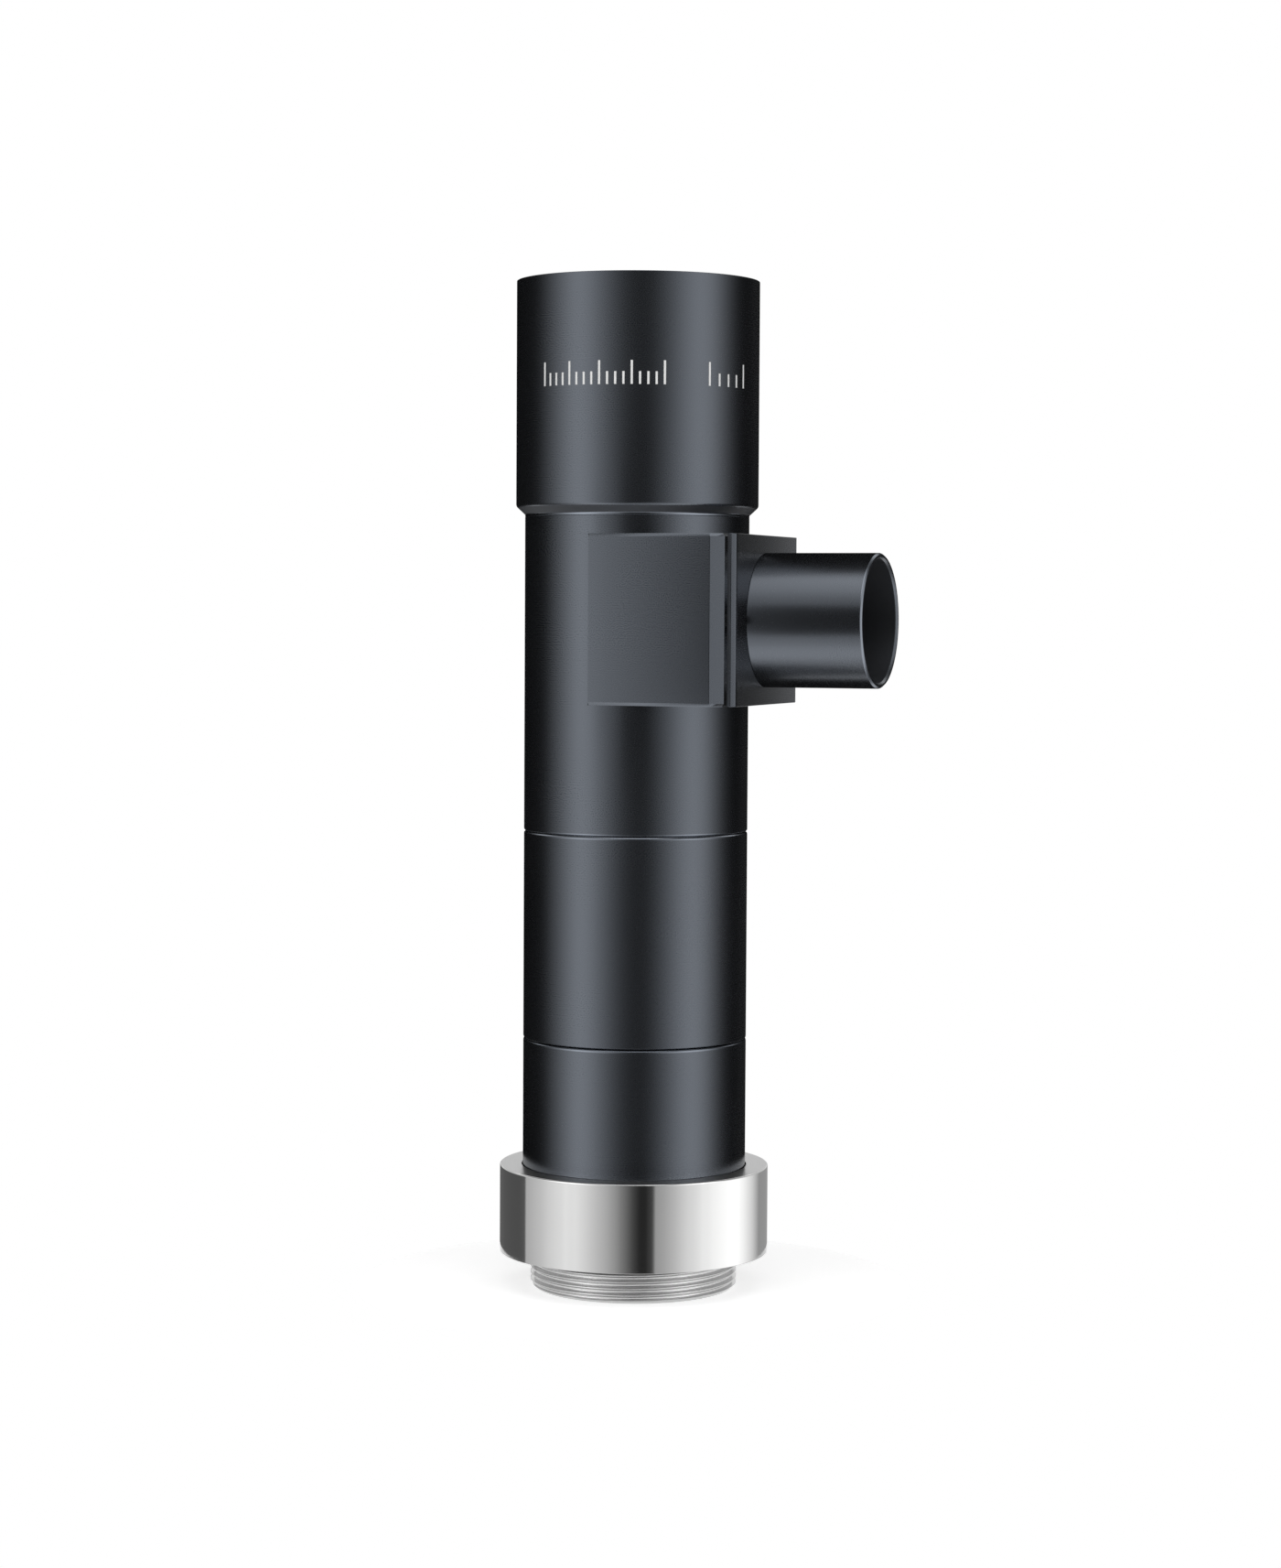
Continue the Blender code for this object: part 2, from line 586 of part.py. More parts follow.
def middle_group(parent):
    """The middle barrel, with the rear doublet and its ring."""
    land_radius = DOUBLET_DIAMETER / 2 - LENS_LAND
    ring_radius = DOUBLET_DIAMETER / 2 - RING_LAND
    seat = REAR_TOP_Z + DOUBLET_SEAT_LIFT
    flint_base = (seat + SEAT_GAP, 0)
    flint_top = (flint_base[0] + DOUBLET_FLINT_THICKNESS, -DOUBLET_CEMENT_CURVE)
    crown_base = (flint_top[0] + CEMENT_GAP, -DOUBLET_CEMENT_CURVE)
    crown_top = (crown_base[0] + DOUBLET_CROWN_THICKNESS, DOUBLET_CROWN_CURVE)
    ring_base = height_at(crown_top, ring_radius) + SEAT_GAP
    element("rear_doublet_flint", flint_top, flint_base, DOUBLET_DIAMETER, parent)
    element("rear_doublet_crown", crown_top, crown_base, DOUBLET_DIAMETER, parent)

    lens_bore = DOUBLET_DIAMETER / 2 + FIT_GAP
    ring_thread = lens_bore + RING_THREAD_STEP
    retaining_ring(
        "rear_doublet_retaining_ring",
        ring_thread - FIT_GAP,
        ring_radius,
        ring_base,
        RING_HEIGHT,
        parent,
    )
    thread_base = ring_base - RING_THREAD_LEAD
    spigot_top = MIDDLE_TOP_Z + SPIGOT_LENGTH
    section = [
        (SPIGOT_RADIUS, spigot_top, EDGE_BREAK),
        (SPIGOT_RADIUS, MIDDLE_TOP_Z),
        (BODY_RADIUS, MIDDLE_TOP_Z, EDGE_BREAK),
        (BODY_RADIUS, REAR_TOP_Z + SEAT_GAP, EDGE_BREAK),
        (COUNTERBORE_RADIUS, REAR_TOP_Z + SEAT_GAP),
        (COUNTERBORE_RADIUS, REAR_TOP_Z + COUNTERBORE_DEPTH),
        (land_radius, REAR_TOP_Z + COUNTERBORE_DEPTH),
        (land_radius, seat),
        (lens_bore, seat),
        (lens_bore, thread_base),
        (ring_thread, thread_base),
        (ring_thread, spigot_top),
    ]
    turned("middle_barrel", section, BLACK_ANODISED, parent)


def rear_group(parent):
    """The rear barrel, screwed into the mount, with the last element, its ring and a baffle."""
    land_radius = REAR_LENS_DIAMETER / 2 - LENS_LAND
    ring_radius = REAR_LENS_DIAMETER / 2 - RING_LAND
    rim_radius = REAR_LENS_DIAMETER / 2
    seat = MOUNT_TOP_Z + REAR_SEAT_LIFT
    rim_rise = height_at((0, -REAR_TOP_CURVE), rim_radius)
    lens_top = (seat - SEAT_GAP - rim_rise, -REAR_TOP_CURVE)
    lens_base = (lens_top[0] - REAR_LENS_THICKNESS, REAR_BASE_CURVE)
    element("rear_element", lens_top, lens_base, REAR_LENS_DIAMETER, parent)

    lens_bore = rim_radius + FIT_GAP
    ring_thread = lens_bore + RING_THREAD_STEP
    ring_top = height_at(lens_base, rim_radius) - SEAT_GAP
    retaining_ring(
        "rear_element_retaining_ring",
        ring_thread - FIT_GAP,
        ring_radius,
        ring_top - RING_HEIGHT,
        RING_HEIGHT,
        parent,
        slots_up=False,
    )

    baffle_seat = MOUNT_TOP_Z + BAFFLE_LIFT
    baffle_base = baffle_seat + SEAT_GAP
    baffle_radius = BAFFLE_DIAMETER / 2
    baffle = [
        (baffle_radius, baffle_base + BAFFLE_HEIGHT),
        (baffle_radius, baffle_base),
        (BAFFLE_HOLE_DIAMETER / 2, baffle_base),
        (BAFFLE_HOLE_DIAMETER / 2 + BAFFLE_WEB, baffle_base + BAFFLE_WEB),
        (baffle_radius - BAFFLE_RIM, baffle_base + BAFFLE_WEB),
        (baffle_radius - BAFFLE_RIM, baffle_base + BAFFLE_HEIGHT),
    ]
    turned("rear_baffle", baffle, BLACK_ANODISED, parent, RING_FACETS)

    foot = MOUNT_TOP_Z - MOUNT_RECESS_DEPTH + SEAT_GAP
    spigot_end = MOUNT_THREAD_Z + SEAT_GAP
    thread_top = ring_top + RING_THREAD_LEAD
    spigot_top = REAR_TOP_Z + SPIGOT_LENGTH
    section = [
        (SPIGOT_RADIUS, spigot_top, EDGE_BREAK),
        (SPIGOT_RADIUS, REAR_TOP_Z),
        (BODY_RADIUS, REAR_TOP_Z, EDGE_BREAK),
        (BODY_RADIUS, foot),
        (MOUNT_THREAD_RADIUS - FIT_GAP, foot),
        (MOUNT_THREAD_RADIUS - FIT_GAP, spigot_end),
        (ring_thread, spigot_end),
        (ring_thread, thread_top),
        (lens_bore, thread_top),
        (lens_bore, seat),
        (land_radius, seat),
        (land_radius, baffle_seat),
        (baffle_radius + FIT_GAP, baffle_seat),
        (baffle_radius + FIT_GAP, spigot_top),
    ]
    turned("rear_barrel", section, BLACK_ANODISED, parent)


def camera_mount(parent):
    """The plated ring that seats on the camera, with the thread's nose below it."""
    thread_radius = THREAD_DIAMETER / 2
    relief_radius = thread_radius - THREAD_DEPTH - FIT_GAP
    recess_radius = BODY_RADIUS + FIT_GAP
    recess_z = MOUNT_TOP_Z - MOUNT_RECESS_DEPTH
    seat_radius = thread_radius + SEAT_CLEARANCE
    section = [
        (MOUNT_DIAMETER / 2, MOUNT_TOP_Z, MOUNT_EDGE_BREAK),
        (MOUNT_DIAMETER / 2, THREAD_LENGTH, MOUNT_EDGE_BREAK),
        (seat_radius, THREAD_LENGTH),
        (seat_radius, THREAD_LENGTH + SEAT_UNDERCUT),
        (relief_radius, THREAD_LENGTH + SEAT_UNDERCUT),
        (relief_radius, THREAD_LENGTH - RELIEF_WIDTH),
        (thread_radius, THREAD_LENGTH - RELIEF_WIDTH, THREAD_DEPTH / 2),
        (thread_radius, 0, THREAD_CHAMFER),
        (NOSE_RADIUS, 0),
        (NOSE_RADIUS, MOUNT_THREAD_Z),
        (MOUNT_THREAD_RADIUS, MOUNT_THREAD_Z),
        (MOUNT_THREAD_RADIUS, recess_z),
        (recess_radius, recess_z),
        (recess_radius, MOUNT_TOP_Z, EDGE_BREAK / 2),
    ]
    turned("camera_mount", section, PLATED, parent)


for leftover in list(bpy.data.objects):
    bpy.data.objects.remove(leftover)

BLACK_ANODISED = finish("black_anodised", (0.022, 0.023, 0.026), 0.38, 0.7)
BLACK_STEEL = finish("black_steel", (0.03, 0.03, 0.03), 0.45, 0.8)
PLATED = finish("satin_plating", (0.76, 0.76, 0.75), 0.18, 1.0)
GLASS = finish("coated_glass", (0.35, 0.45, 0.42), 0.05, 0.0)

DOWELS = (("port_dowel_near", -1), ("port_dowel_far", 1))
GRUB_SCREWS = (("cell_grub_screw_upper", -1), ("cell_grub_screw_lower", 1))

LENS_AXIS = axis("lens_axis", (AXIS_X, 0, 0))
LIGHT_AXIS = axis("light_axis", (0, 0, PORT_Z), (0, math.radians(90), 0), LENS_AXIS)

front_group(LENS_AXIS)
main_barrel(LENS_AXIS, LIGHT_AXIS)
beamsplitter(LENS_AXIS, LIGHT_AXIS)
light_port(LIGHT_AXIS)
aperture_stop(LENS_AXIS)
middle_group(LENS_AXIS)
rear_group(LENS_AXIS)
camera_mount(LENS_AXIS)
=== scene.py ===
import math

import bmesh
import bpy
from mathutils import Matrix, Vector


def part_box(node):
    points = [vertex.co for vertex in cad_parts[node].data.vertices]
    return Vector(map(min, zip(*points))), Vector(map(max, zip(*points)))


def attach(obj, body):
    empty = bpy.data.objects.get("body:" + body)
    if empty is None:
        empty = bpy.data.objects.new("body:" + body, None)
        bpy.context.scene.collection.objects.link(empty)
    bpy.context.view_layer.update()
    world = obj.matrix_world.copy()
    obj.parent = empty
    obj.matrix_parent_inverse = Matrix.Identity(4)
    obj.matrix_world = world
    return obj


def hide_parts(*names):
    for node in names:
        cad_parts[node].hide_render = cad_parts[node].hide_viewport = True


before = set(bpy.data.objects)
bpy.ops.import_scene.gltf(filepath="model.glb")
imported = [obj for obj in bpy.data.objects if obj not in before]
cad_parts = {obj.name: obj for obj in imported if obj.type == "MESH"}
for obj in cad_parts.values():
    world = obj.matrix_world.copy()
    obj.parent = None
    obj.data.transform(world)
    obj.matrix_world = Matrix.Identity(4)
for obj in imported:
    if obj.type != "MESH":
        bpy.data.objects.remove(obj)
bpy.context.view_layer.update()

# Camera mount: one turned piece of plated brass. The ring seats on the camera, the nose below it
# carries the one-inch thread with 32 turns to the inch, and the recess above takes the rear barrel.
MM = 0.001
low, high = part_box("camera_mount")
UP_LENS_AXIS = Matrix.Translation(((low.x + high.x) / 2, 0, 0))
THREAD_RADIUS = 12.7
THREAD_PITCH = 25.4 / 32
THREAD_DEPTH = 0.49
THREAD_TOP = 3.7
THREAD_STEP = 0.04
VEE_EDGE = 0.75
VEE_FLANK = 0.62
TURNED_FACE = 15.09
NOSE_CHAMFER = 0.5
MOUNT_SECTION = [
    (16.5, 15.1, 0.22),
    (16.5, 4.4, 0.05),
    (13.1, 4.4),
    (13.1, 4.6),
    (12.1, 4.6),
    (12.1, THREAD_TOP),
]
MOUNT_BORE = [(10.6, 0), (10.6, 6.3), (11.7, 6.3), (11.7, 12.1), (13.8, 12.1), (13.8, 15.1, 0.1)]


class Signal:
    """A shader socket that works like a number: each operator on it adds its Math node."""

    def __init__(self, socket):
        self.socket = socket

    def node(self, kind, settings=None, inputs=None, output=0):
        """Adds any other node: first its settings, then the values or links of its sockets."""
        made = self.socket.id_data.nodes.new(f"ShaderNode{kind}")
        for name, setting in (settings or {}).items():
            if name == "stops":
                set_stops(made.color_ramp.elements, setting)
            else:
                setattr(made, name, setting)
        for name, given in (inputs or {}).items():
            if isinstance(given, Signal):
                given.into(made.inputs[name])
            else:
                made.inputs[name].default_value = given
        return Signal(made.outputs[output])

    def also(self, output):
        """Another output of the same node."""
        return Signal(self.socket.node.outputs[output])

    def into(self, socket):
        """Links this to a socket that it feeds."""
        self.socket.id_data.links.new(self.socket, socket)

    def math(self, operation, *terms):
        return self.node("Math", {"operation": operation}, dict(enumerate(terms)))

    def __add__(self, other):
        return self.math("ADD", self, other)

    def __radd__(self, other):
        return self.math("ADD", other, self)

    def __sub__(self, other):
        return self.math("SUBTRACT", self, other)

    def __rsub__(self, other):
        return self.math("SUBTRACT", other, self)

    def __mul__(self, other):
        return self.math("MULTIPLY", self, other)

    def __rmul__(self, other):
        return self.math("MULTIPLY", other, self)

    def __truediv__(self, other):
        return self.math("DIVIDE", self, other)


def set_stops(elements, stops):
    """Gives a ramp its (place, grey) or (place, colour) stops."""
    while len(elements) < len(stops):
        elements.new(0.5)
    for element, (place, shade) in zip(elements, stops):
        element.position = place
        element.color = (shade, shade, shade, 1) if isinstance(shade, float) else (*shade, 1)


def finish(name, constants):
    """A material, its shader with the constants set on its own sockets, and a first signal."""
    material = bpy.data.materials.new(name)
    material.use_nodes = True
    shader = material.node_tree.nodes["Principled BSDF"]
    for socket, value in constants.items():
        shader.inputs[socket].default_value = value
    return material, shader, Signal(shader.outputs["BSDF"])


def noise(start, place, scale, detail=2.0):
    """Noise of so many cells to the metre."""
    return start.node("TexNoise", {}, {"Vector": place, "Scale": scale, "Detail": detail})


def lathe_marks(start, place, scale):
    """The fine rings that a turning tool leaves, from 0 to 1, down the axis and out across a face."""
    axes = start.node("SeparateXYZ", {}, {0: place})
    outward = start.node("VectorMath", {"operation": "LENGTH"}, {0: place}, "Value")
    along = (axes.also("Z") + outward) * scale
    return start.node("TexNoise", {"noise_dimensions": "1D"}, {"W": along, "Scale": 1.0, "Detail": 2.0})


def mixed(factor, first, second):
    """A colour between two others."""
    return factor.node("Mix", {"data_type": "RGBA"}, {0: factor, 6: first, 7: second}, 2)


def plated(name, colour, roughness):
    """Bright nickel-chrome plating over a turned surface."""
    material, shader, start = finish(name, {"Metallic": 1.0})
    place = start.node("TexCoord", {}, {}, "Object")
    marks = lathe_marks(start, place, 9000.0)
    cloud = noise(start, place, 120.0)
    darker = tuple(0.94 * part for part in colour[:3]) + (1,)
    mixed(cloud, darker, colour).into(shader.inputs["Base Color"])
    (roughness + (marks - 0.5) * 0.05 + (cloud - 0.5) * 0.04).into(shader.inputs["Roughness"])
    bump = start.node("Bump", {}, {"Height": marks, "Distance": 0.0000006})
    bump.into(shader.inputs["Normal"])
    return material


def rounded(corners, closed):
    """A section's points, with a small round at each corner that gives its size as a third value."""
    points = []
    for i, (radius, height, *size) in enumerate(corners):
        if not size:
            points.append((radius, height))
            continue
        ends = []
        for other in (corners[i - 1], corners[(i + 1) % len(corners)]):
            run, rise = other[0] - radius, other[1] - height
            share = size[0] / math.hypot(run, rise)
            ends.append((radius + run * share, height + rise * share))
        (r0, z0), (r1, z1) = ends
        for t in (0, 0.3, 0.7, 1):
            near, middle, far = (1 - t) ** 2, 2 * t * (1 - t), t**2
            points.append((near * r0 + middle * radius + far * r1, near * z0 + middle * height + far * z1))
    return points + points[:1] if closed else points


def turned(name, corners, axis=UP_LENS_AXIS, steps=192, cut_thread=None, closed=None):
    """A piece spun from its half section of (radius, height, round) corners, in millimetres.

    A section that starts and ends on the axis makes a solid piece, and any other a closed ring.
    """
    points = rounded(corners, closed=corners[0][0] > 0 if closed is None else closed)
    vertices = []
    for step in range(steps):
        angle = math.tau * step / steps
        for radius, height in points:
            if cut_thread:
                radius = cut_thread(angle, radius, height)
            vertices.append((radius * MM * math.cos(angle), radius * MM * math.sin(angle), height * MM))
    count = len(points)
    faces = []
    for step in range(steps):
        here, there = step * count, (step + 1) % steps * count
        for i in range(count - 1):
            faces.append((here + i + 1, here + i, there + i, there + i + 1))
    mesh = bpy.data.meshes.new(name)
    mesh.from_pydata(vertices, [], faces)
    bm = bmesh.new()
    bm.from_mesh(mesh)
    bmesh.ops.remove_doubles(bm, verts=bm.verts, dist=1e-8)
    bmesh.ops.dissolve_degenerate(bm, edges=bm.edges, dist=1e-9)
    bmesh.ops.recalc_face_normals(bm, faces=bm.faces)
    bm.to_mesh(mesh)
    bm.free()
    piece = bpy.data.objects.new(name, mesh)
    bpy.context.scene.collection.objects.link(piece)
    piece.matrix_world = axis
    return piece


def thread_profile(turns):
    """Height of a thread's vee, from 0 at the root to 1 at the crest, so many turns along."""
    from_crest = abs(turns % 1 - 0.5) * 2
    return min(1, max(0, (VEE_EDGE - from_crest) / VEE_FLANK))


def mount_thread(angle, radius, height):
    """Cuts the mount's right-handed thread into the outside of the nose."""
    if radius < THREAD_RADIUS - THREAD_DEPTH or not 0 < height < THREAD_TOP:
        return radius
    turns = height / THREAD_PITCH - angle / math.tau
    return min(radius, THREAD_RADIUS - THREAD_DEPTH * (1 - thread_profile(turns)))


def levels(top, base, step):
    """Even heights from a top down to a base."""
    count = round((top - base) / step)
    return [top + (base - top) * i / count for i in range(count + 1)]


def surfaced(piece, *materials, sharp=32):
    """Gives a piece its finishes, smooth rounds, crisp edges and flat faces."""
    for material in materials:
        piece.data.materials.append(material)
    piece.data.shade_smooth()
    piece.data.set_sharp_from_angle(angle=math.radians(sharp))
    flat = piece.modifiers.new("flat_faces", "WEIGHTED_NORMAL")
    flat.keep_sharp = True


def refinished(piece, number, chosen):
    """Gives another of a piece's finishes to the faces chosen by their middle, in millimetres."""
    for face in piece.data.polygons:
        if chosen(face.center / MM):
            face.material_index = number


NOSE_WALL = [
    (min(THREAD_RADIUS, THREAD_RADIUS - NOSE_CHAMFER + height), height)
    for height in levels(THREAD_TOP, 0, THREAD_STEP)
]
SATIN_PLATING = plated("satin_plating", (0.455, 0.455, 0.453, 1), 0.07)
# The thread's plating is painted paler than the ring's: painted light that lifts the thread out of the
# ring's shade. Its rougher finish is real.
PAINTED_LIGHTER_THREAD_PLATING = plated("thread_plating_painted_lighter", (0.55, 0.55, 0.55, 1), 0.2)
FACED_PLATING = plated("faced_plating", (0.46, 0.46, 0.46, 1), 0.3)
mount = turned("mount_ring_and_thread", MOUNT_SECTION + NOSE_WALL + MOUNT_BORE, cut_thread=mount_thread)
surfaced(mount, SATIN_PLATING, PAINTED_LIGHTER_THREAD_PLATING, FACED_PLATING, sharp=66)
refinished(mount, 1, lambda middle: middle.z < THREAD_TOP)
refinished(mount, 2, lambda middle: middle.z > TURNED_FACE)
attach(mount, "root")
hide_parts("camera_mount")

# Rear barrel: a turned aluminium tube, anodised black. Its foot screws into the mount, its head
# into the middle barrel, and it holds the last element and the baffle.
REAR_SECTION = [
    (12.1, 33.7, 0.2),
    (12.1, 30.7),
    (13.7, 30.7, 0.35),
    (13.7, 12.2),
    (11.6, 12.2),
    (11.6, 6.4),
    (9.6, 6.4, 0.1),
    (9.6, 13.67),
    (9.1, 13.67),
    (9.1, 17.0),
    (7.75, 17.0),
    (7.75, 24.0),
    (10.4, 24.0),
    (10.4, 33.7),
]


def anodised(name, roughness=0.27, greyness=1.0, sheen=1.7):
    """Black dyed anodising on turned aluminium: the oxide's refraction sets its cool sheen."""
    oxide = {"IOR": sheen, "Specular IOR Level": 0.9, "Specular Tint": (0.79, 0.87, 1, 1)}
    material, shader, start = finish(name, oxide)
    place = start.node("TexCoord", {}, {}, "Object")
    marks = lathe_marks(start, place, 7000.0)
    cloud = noise(start, place, 60.0)
    grain = noise(start, place, 9000.0, 1.0)
    deep, worn = (0.004, 0.0041, 0.0043), (0.0066, 0.0068, 0.0074)
    deep, worn = [(*(greyness * part for part in dye), 1) for dye in (deep, worn)]
    mixed(cloud, deep, worn).into(shader.inputs["Base Color"])
    rough = roughness + (marks - 0.5) * 0.014 + (cloud - 0.5) * 0.03 + (grain - 0.5) * 0.03
    rough.into(shader.inputs["Roughness"])
    bump = start.node("Bump", {}, {"Height": marks * 0.15 + grain * 0.85, "Distance": 0.0000004})
    bump.into(shader.inputs["Normal"])
    return material


def burnished(piece, *edges):
    """Gives edges, by radius and height, the brighter sheen that handling leaves on them."""
    piece.data.materials.append(BURNISHED_EDGE)

    def near_edge(middle):
        place = Vector((middle.xy.length, middle.z))
        return min((place - Vector(edge)).length for edge in edges) < EDGE_REACH

    refinished(piece, len(piece.data.materials) - 1, near_edge)


EDGE_REACH = 0.35
BLACK_ANODISING = anodised("black_anodising")
BURNISHED_EDGE = anodised("burnished_edge", 0.22, sheen=2.15)
rear = turned("rear_tube", REAR_SECTION)
surfaced(rear, BLACK_ANODISING)
burnished(rear, (13.7, 30.7))
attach(rear, "root")
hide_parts("rear_barrel")

# Last element and its ring: a ground and coated glass lens, hollow on both faces, its rim inked
# black, held up on its seat by a slotted ring of black aluminium.
REAR_TOP_SURFACE = (15.99, -45)
REAR_BASE_SURFACE = (13.99, 50)
INKED_WIDTH = 0.2
RING_EDGE = 0.08
SLOT_DEPTH = 0.7
SLOT_WIDTH = 1.2


def coated_glass(name, tint, film):
    """Clear optical glass under an anti-reflection film of so many nanometres."""
    glass = {"Transmission Weight": 1.0, "IOR": 1.6, "Thin Film Thickness": film, "Thin Film IOR": 1.38}
    material, shader, start = finish(name, glass)
    place = start.node("TexCoord", {}, {}, "Object")
    haze = noise(start, place, 300.0)
    lighter = tuple(min(1, 1.02 * part) for part in tint[:3]) + (1,)
    mixed(haze, tint, lighter).into(shader.inputs["Base Color"])
    (haze * 0.02).into(shader.inputs["Roughness"])
    return material


def rim_ink():
    """The matt black ink round the rim of each element."""
    material, shader, start = finish("rim_ink", {"Specular IOR Level": 0.3})
    place = start.node("TexCoord", {}, {}, "Object")
    brushed = noise(start, place, 900.0)
    mixed(brushed, (0.006, 0.006, 0.006, 1), (0.012, 0.012, 0.012, 1)).into(shader.inputs["Base Color"])
    (0.6 + brushed * 0.2).into(shader.inputs["Roughness"])
    return material


def ground(vertex, curve, radius):
    """Height of a ground surface at a radius: a positive curve is a dome, a negative one a bowl."""
    if not curve:
        return vertex
    return vertex - math.copysign(abs(curve) - math.sqrt(curve**2 - radius**2), curve)


def element(name, top, base, radius, glass, axis=UP_LENS_AXIS):
    """A lens element between two (vertex height, curve) surfaces, its rim chamfered and inked."""
    radii = [radius * i / 14 for i in range(14)]
    section = [(r, ground(*top, r)) for r in radii] + [(radius, ground(*top, radius), 0.15)]
    section += [(radius, ground(*base, radius), 0.15)] + [(r, ground(*base, r)) for r in reversed(radii)]
    piece = turned(name, section, axis, 128)
    surfaced(piece, glass, RIM_INK, sharp=20)
    for face in piece.data.polygons:
        outside = face.center.xy.length > (radius - INKED_WIDTH) * MM
        if outside and abs(face.normal.z) < 0.9:
            face.material_index = 1
    return piece


def carved(piece, tool, operation="DIFFERENCE"):
    """Cuts a tool out of a piece, or joins it on, and takes the tool away."""
    cut = piece.modifiers.new("cut", "BOOLEAN")
    cut.operation = operation
    cut.solver = "EXACT"
    cut.object = tool
    bpy.context.view_layer.update()
    shaped = piece.evaluated_get(bpy.context.evaluated_depsgraph_get())
    piece.data = bpy.data.meshes.new_from_object(shaped)
    piece.modifiers.clear()
    bpy.data.objects.remove(tool)


def rise(edge):
    """How far up an edge goes, to a tenth of a micrometre."""
    return round(abs(edge.verts[0].co.z - edge.verts[1].co.z), 7)


def eased(bm, edges, size, segments=3):
    """Rounds some edges of a block to a size in millimetres."""
    bmesh.ops.bevel(bm, geom=edges, offset=size * MM, segments=segments, profile=0.5, affect="EDGES")


def prism(name, plan, base, height, axis=UP_LENS_AXIS, round_size=0, rim=None):
    """A block of metal from its (x, y) plan in millimetres, its edges rounded if a size is given.

    The edges round its two ends may have a steep chamfer instead, given by its (inset, height).
    """
    bm = bmesh.new()
    face = bm.faces.new([bm.verts.new((x * MM, y * MM, base * MM)) for x, y in plan])
    pulled = bmesh.ops.extrude_face_region(bm, geom=[face])
    raised = [item for item in pulled["geom"] if isinstance(item, bmesh.types.BMVert)]
    bmesh.ops.translate(bm, verts=raised, vec=(0, 0, height * MM))
    if rim:
        inset, drop = rim
        eased(bm, [edge for edge in bm.edges if rise(edge) == 0], inset, 1)
        for vertex in bm.verts:
            from_middle = vertex.co.z - (base + height / 2) * MM
            if abs(from_middle) < (height - inset) / 2 * MM:
                vertex.co.z -= math.copysign((drop - inset) * MM, from_middle)
    elif round_size:
        eased(bm, [edge for edge in bm.edges if rise(edge) == 0], round_size)
    if round_size:
        eased(bm, [edge for edge in bm.edges if rise(edge) > height * MM / 2], round_size)
    bmesh.ops.recalc_face_normals(bm, faces=bm.faces)
    mesh = bpy.data.meshes.new(name)
    bm.to_mesh(mesh)
    bm.free()
    piece = bpy.data.objects.new(name, mesh)
    bpy.context.scene.collection.objects.link(piece)
    piece.matrix_world = axis
    return piece


def retaining_ring(name, outer, inner, base, height, slots_up=True):
    """A threaded ring with two spanner slots across one face."""
    top = base + height
    corners = ((outer, top), (outer, base), (inner, base), (inner, top))
    ring = turned(name, [(*corner, RING_EDGE) for corner in corners])
    floor = top - SLOT_DEPTH if slots_up else base - 1
    roof = top + 1 if slots_up else base + SLOT_DEPTH
    half = SLOT_WIDTH / 2
    for near, far in ((inner - 2, outer + 1), (-outer - 1, 2 - inner)):
        plan = [(near, -half), (far, -half), (far, half), (near, half)]
        carved(ring, prism(f"{name}_slot", plan, floor, roof - floor))
    surfaced(ring, BLACK_ANODISING)
    return ring


RIM_INK = rim_ink()
REAR_GLASS = coated_glass("rear_glass", (0.93, 1, 0.97, 1), 105.0)
rear_element = element("rear_lens", REAR_TOP_SURFACE, REAR_BASE_SURFACE, 9.0, REAR_GLASS)
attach(rear_element, "root")
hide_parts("rear_element")
rear_ring = retaining_ring("rear_lens_ring", 9.5, 7.9, 11.07, 2.0, slots_up=False)
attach(rear_ring, "root")
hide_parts("rear_element_retaining_ring")

# Middle barrel: a plain black tube that carries the rear cemented doublet. The threads at both
# ends hide inside its neighbours, so only a fine line shows at each joint.
MIDDLE_SECTION = [
    (12.1, 59.1, 0.2),
    (12.1, 56.1),
    (13.7, 56.1, 0.3),
    (13.7, 30.8, 0.2),
    (12.2, 30.8),
    (12.2, 34.1),
    (8.75, 34.1),
    (8.75, 47.0),
    (10.1, 47.0),
    (10.1, 52.7),
    (10.6, 52.7),
    (10.6, 59.1),
]
middle = turned("middle_tube", MIDDLE_SECTION)
surfaced(middle, BLACK_ANODISING)
burnished(middle, (13.7, 56.1))
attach(middle, "root")
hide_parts("middle_barrel")

# Rear doublet: two elements cemented together, which the light passes on its way from the stop
# to the last element.
DOUBLET_GLASS = coated_glass("doublet_glass", (0.95, 1, 0.96, 1), 115.0)
rear_flint = element("rear_flint", (48.9, -30), (47.1, 0), 10.0, DOUBLET_GLASS)
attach(rear_flint, "root")
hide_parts("rear_doublet_flint")
rear_crown = element("rear_crown", (54.2, 40), (49.0, -30), 10.0, DOUBLET_GLASS)
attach(rear_crown, "root")
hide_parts("rear_doublet_crown")

# Main barrel: turned from thick bar, with the square block for the light port milled on its side.
# Its two flats just cut into the barrel's round, and the chamfers along their ends go with them.
BLOCK_BASE = 71.8
BLOCK_HEIGHT = 20.4
BLOCK_TOP = BLOCK_BASE + BLOCK_HEIGHT
RIM_INSET = 0.26
RIM_DROP = 0.38
FLAT = 13.65
FLAT_START = -1.17
FLAT_RUN = 4.4
PAST_BARREL = 14.7
BLOCK_PLAN = [(0, -FLAT), (14.05, -FLAT), (15.5, -12.43), (15.5, 12.43), (14.05, FLAT), (0, FLAT)]
ALONG_BLOCK = UP_LENS_AXIS @ Matrix(((0, 0, 1, 0), (1, 0, 0, 0), (0, 1, 0, 0), (0, 0, 0, 1)))
MAIN_BORE = [
    (0, 95.4),
    (12.2, 95.4),
    (12.2, 91.0),
    (11.0, 91.0),
    (11.0, 73.6),
    (9.6, 73.6),
    (9.6, 65.6),
    (11.0, 65.6),
    (11.0, 59.5),
    (12.2, 59.5),
    (12.2, 55.1),
    (0, 55.1),
]


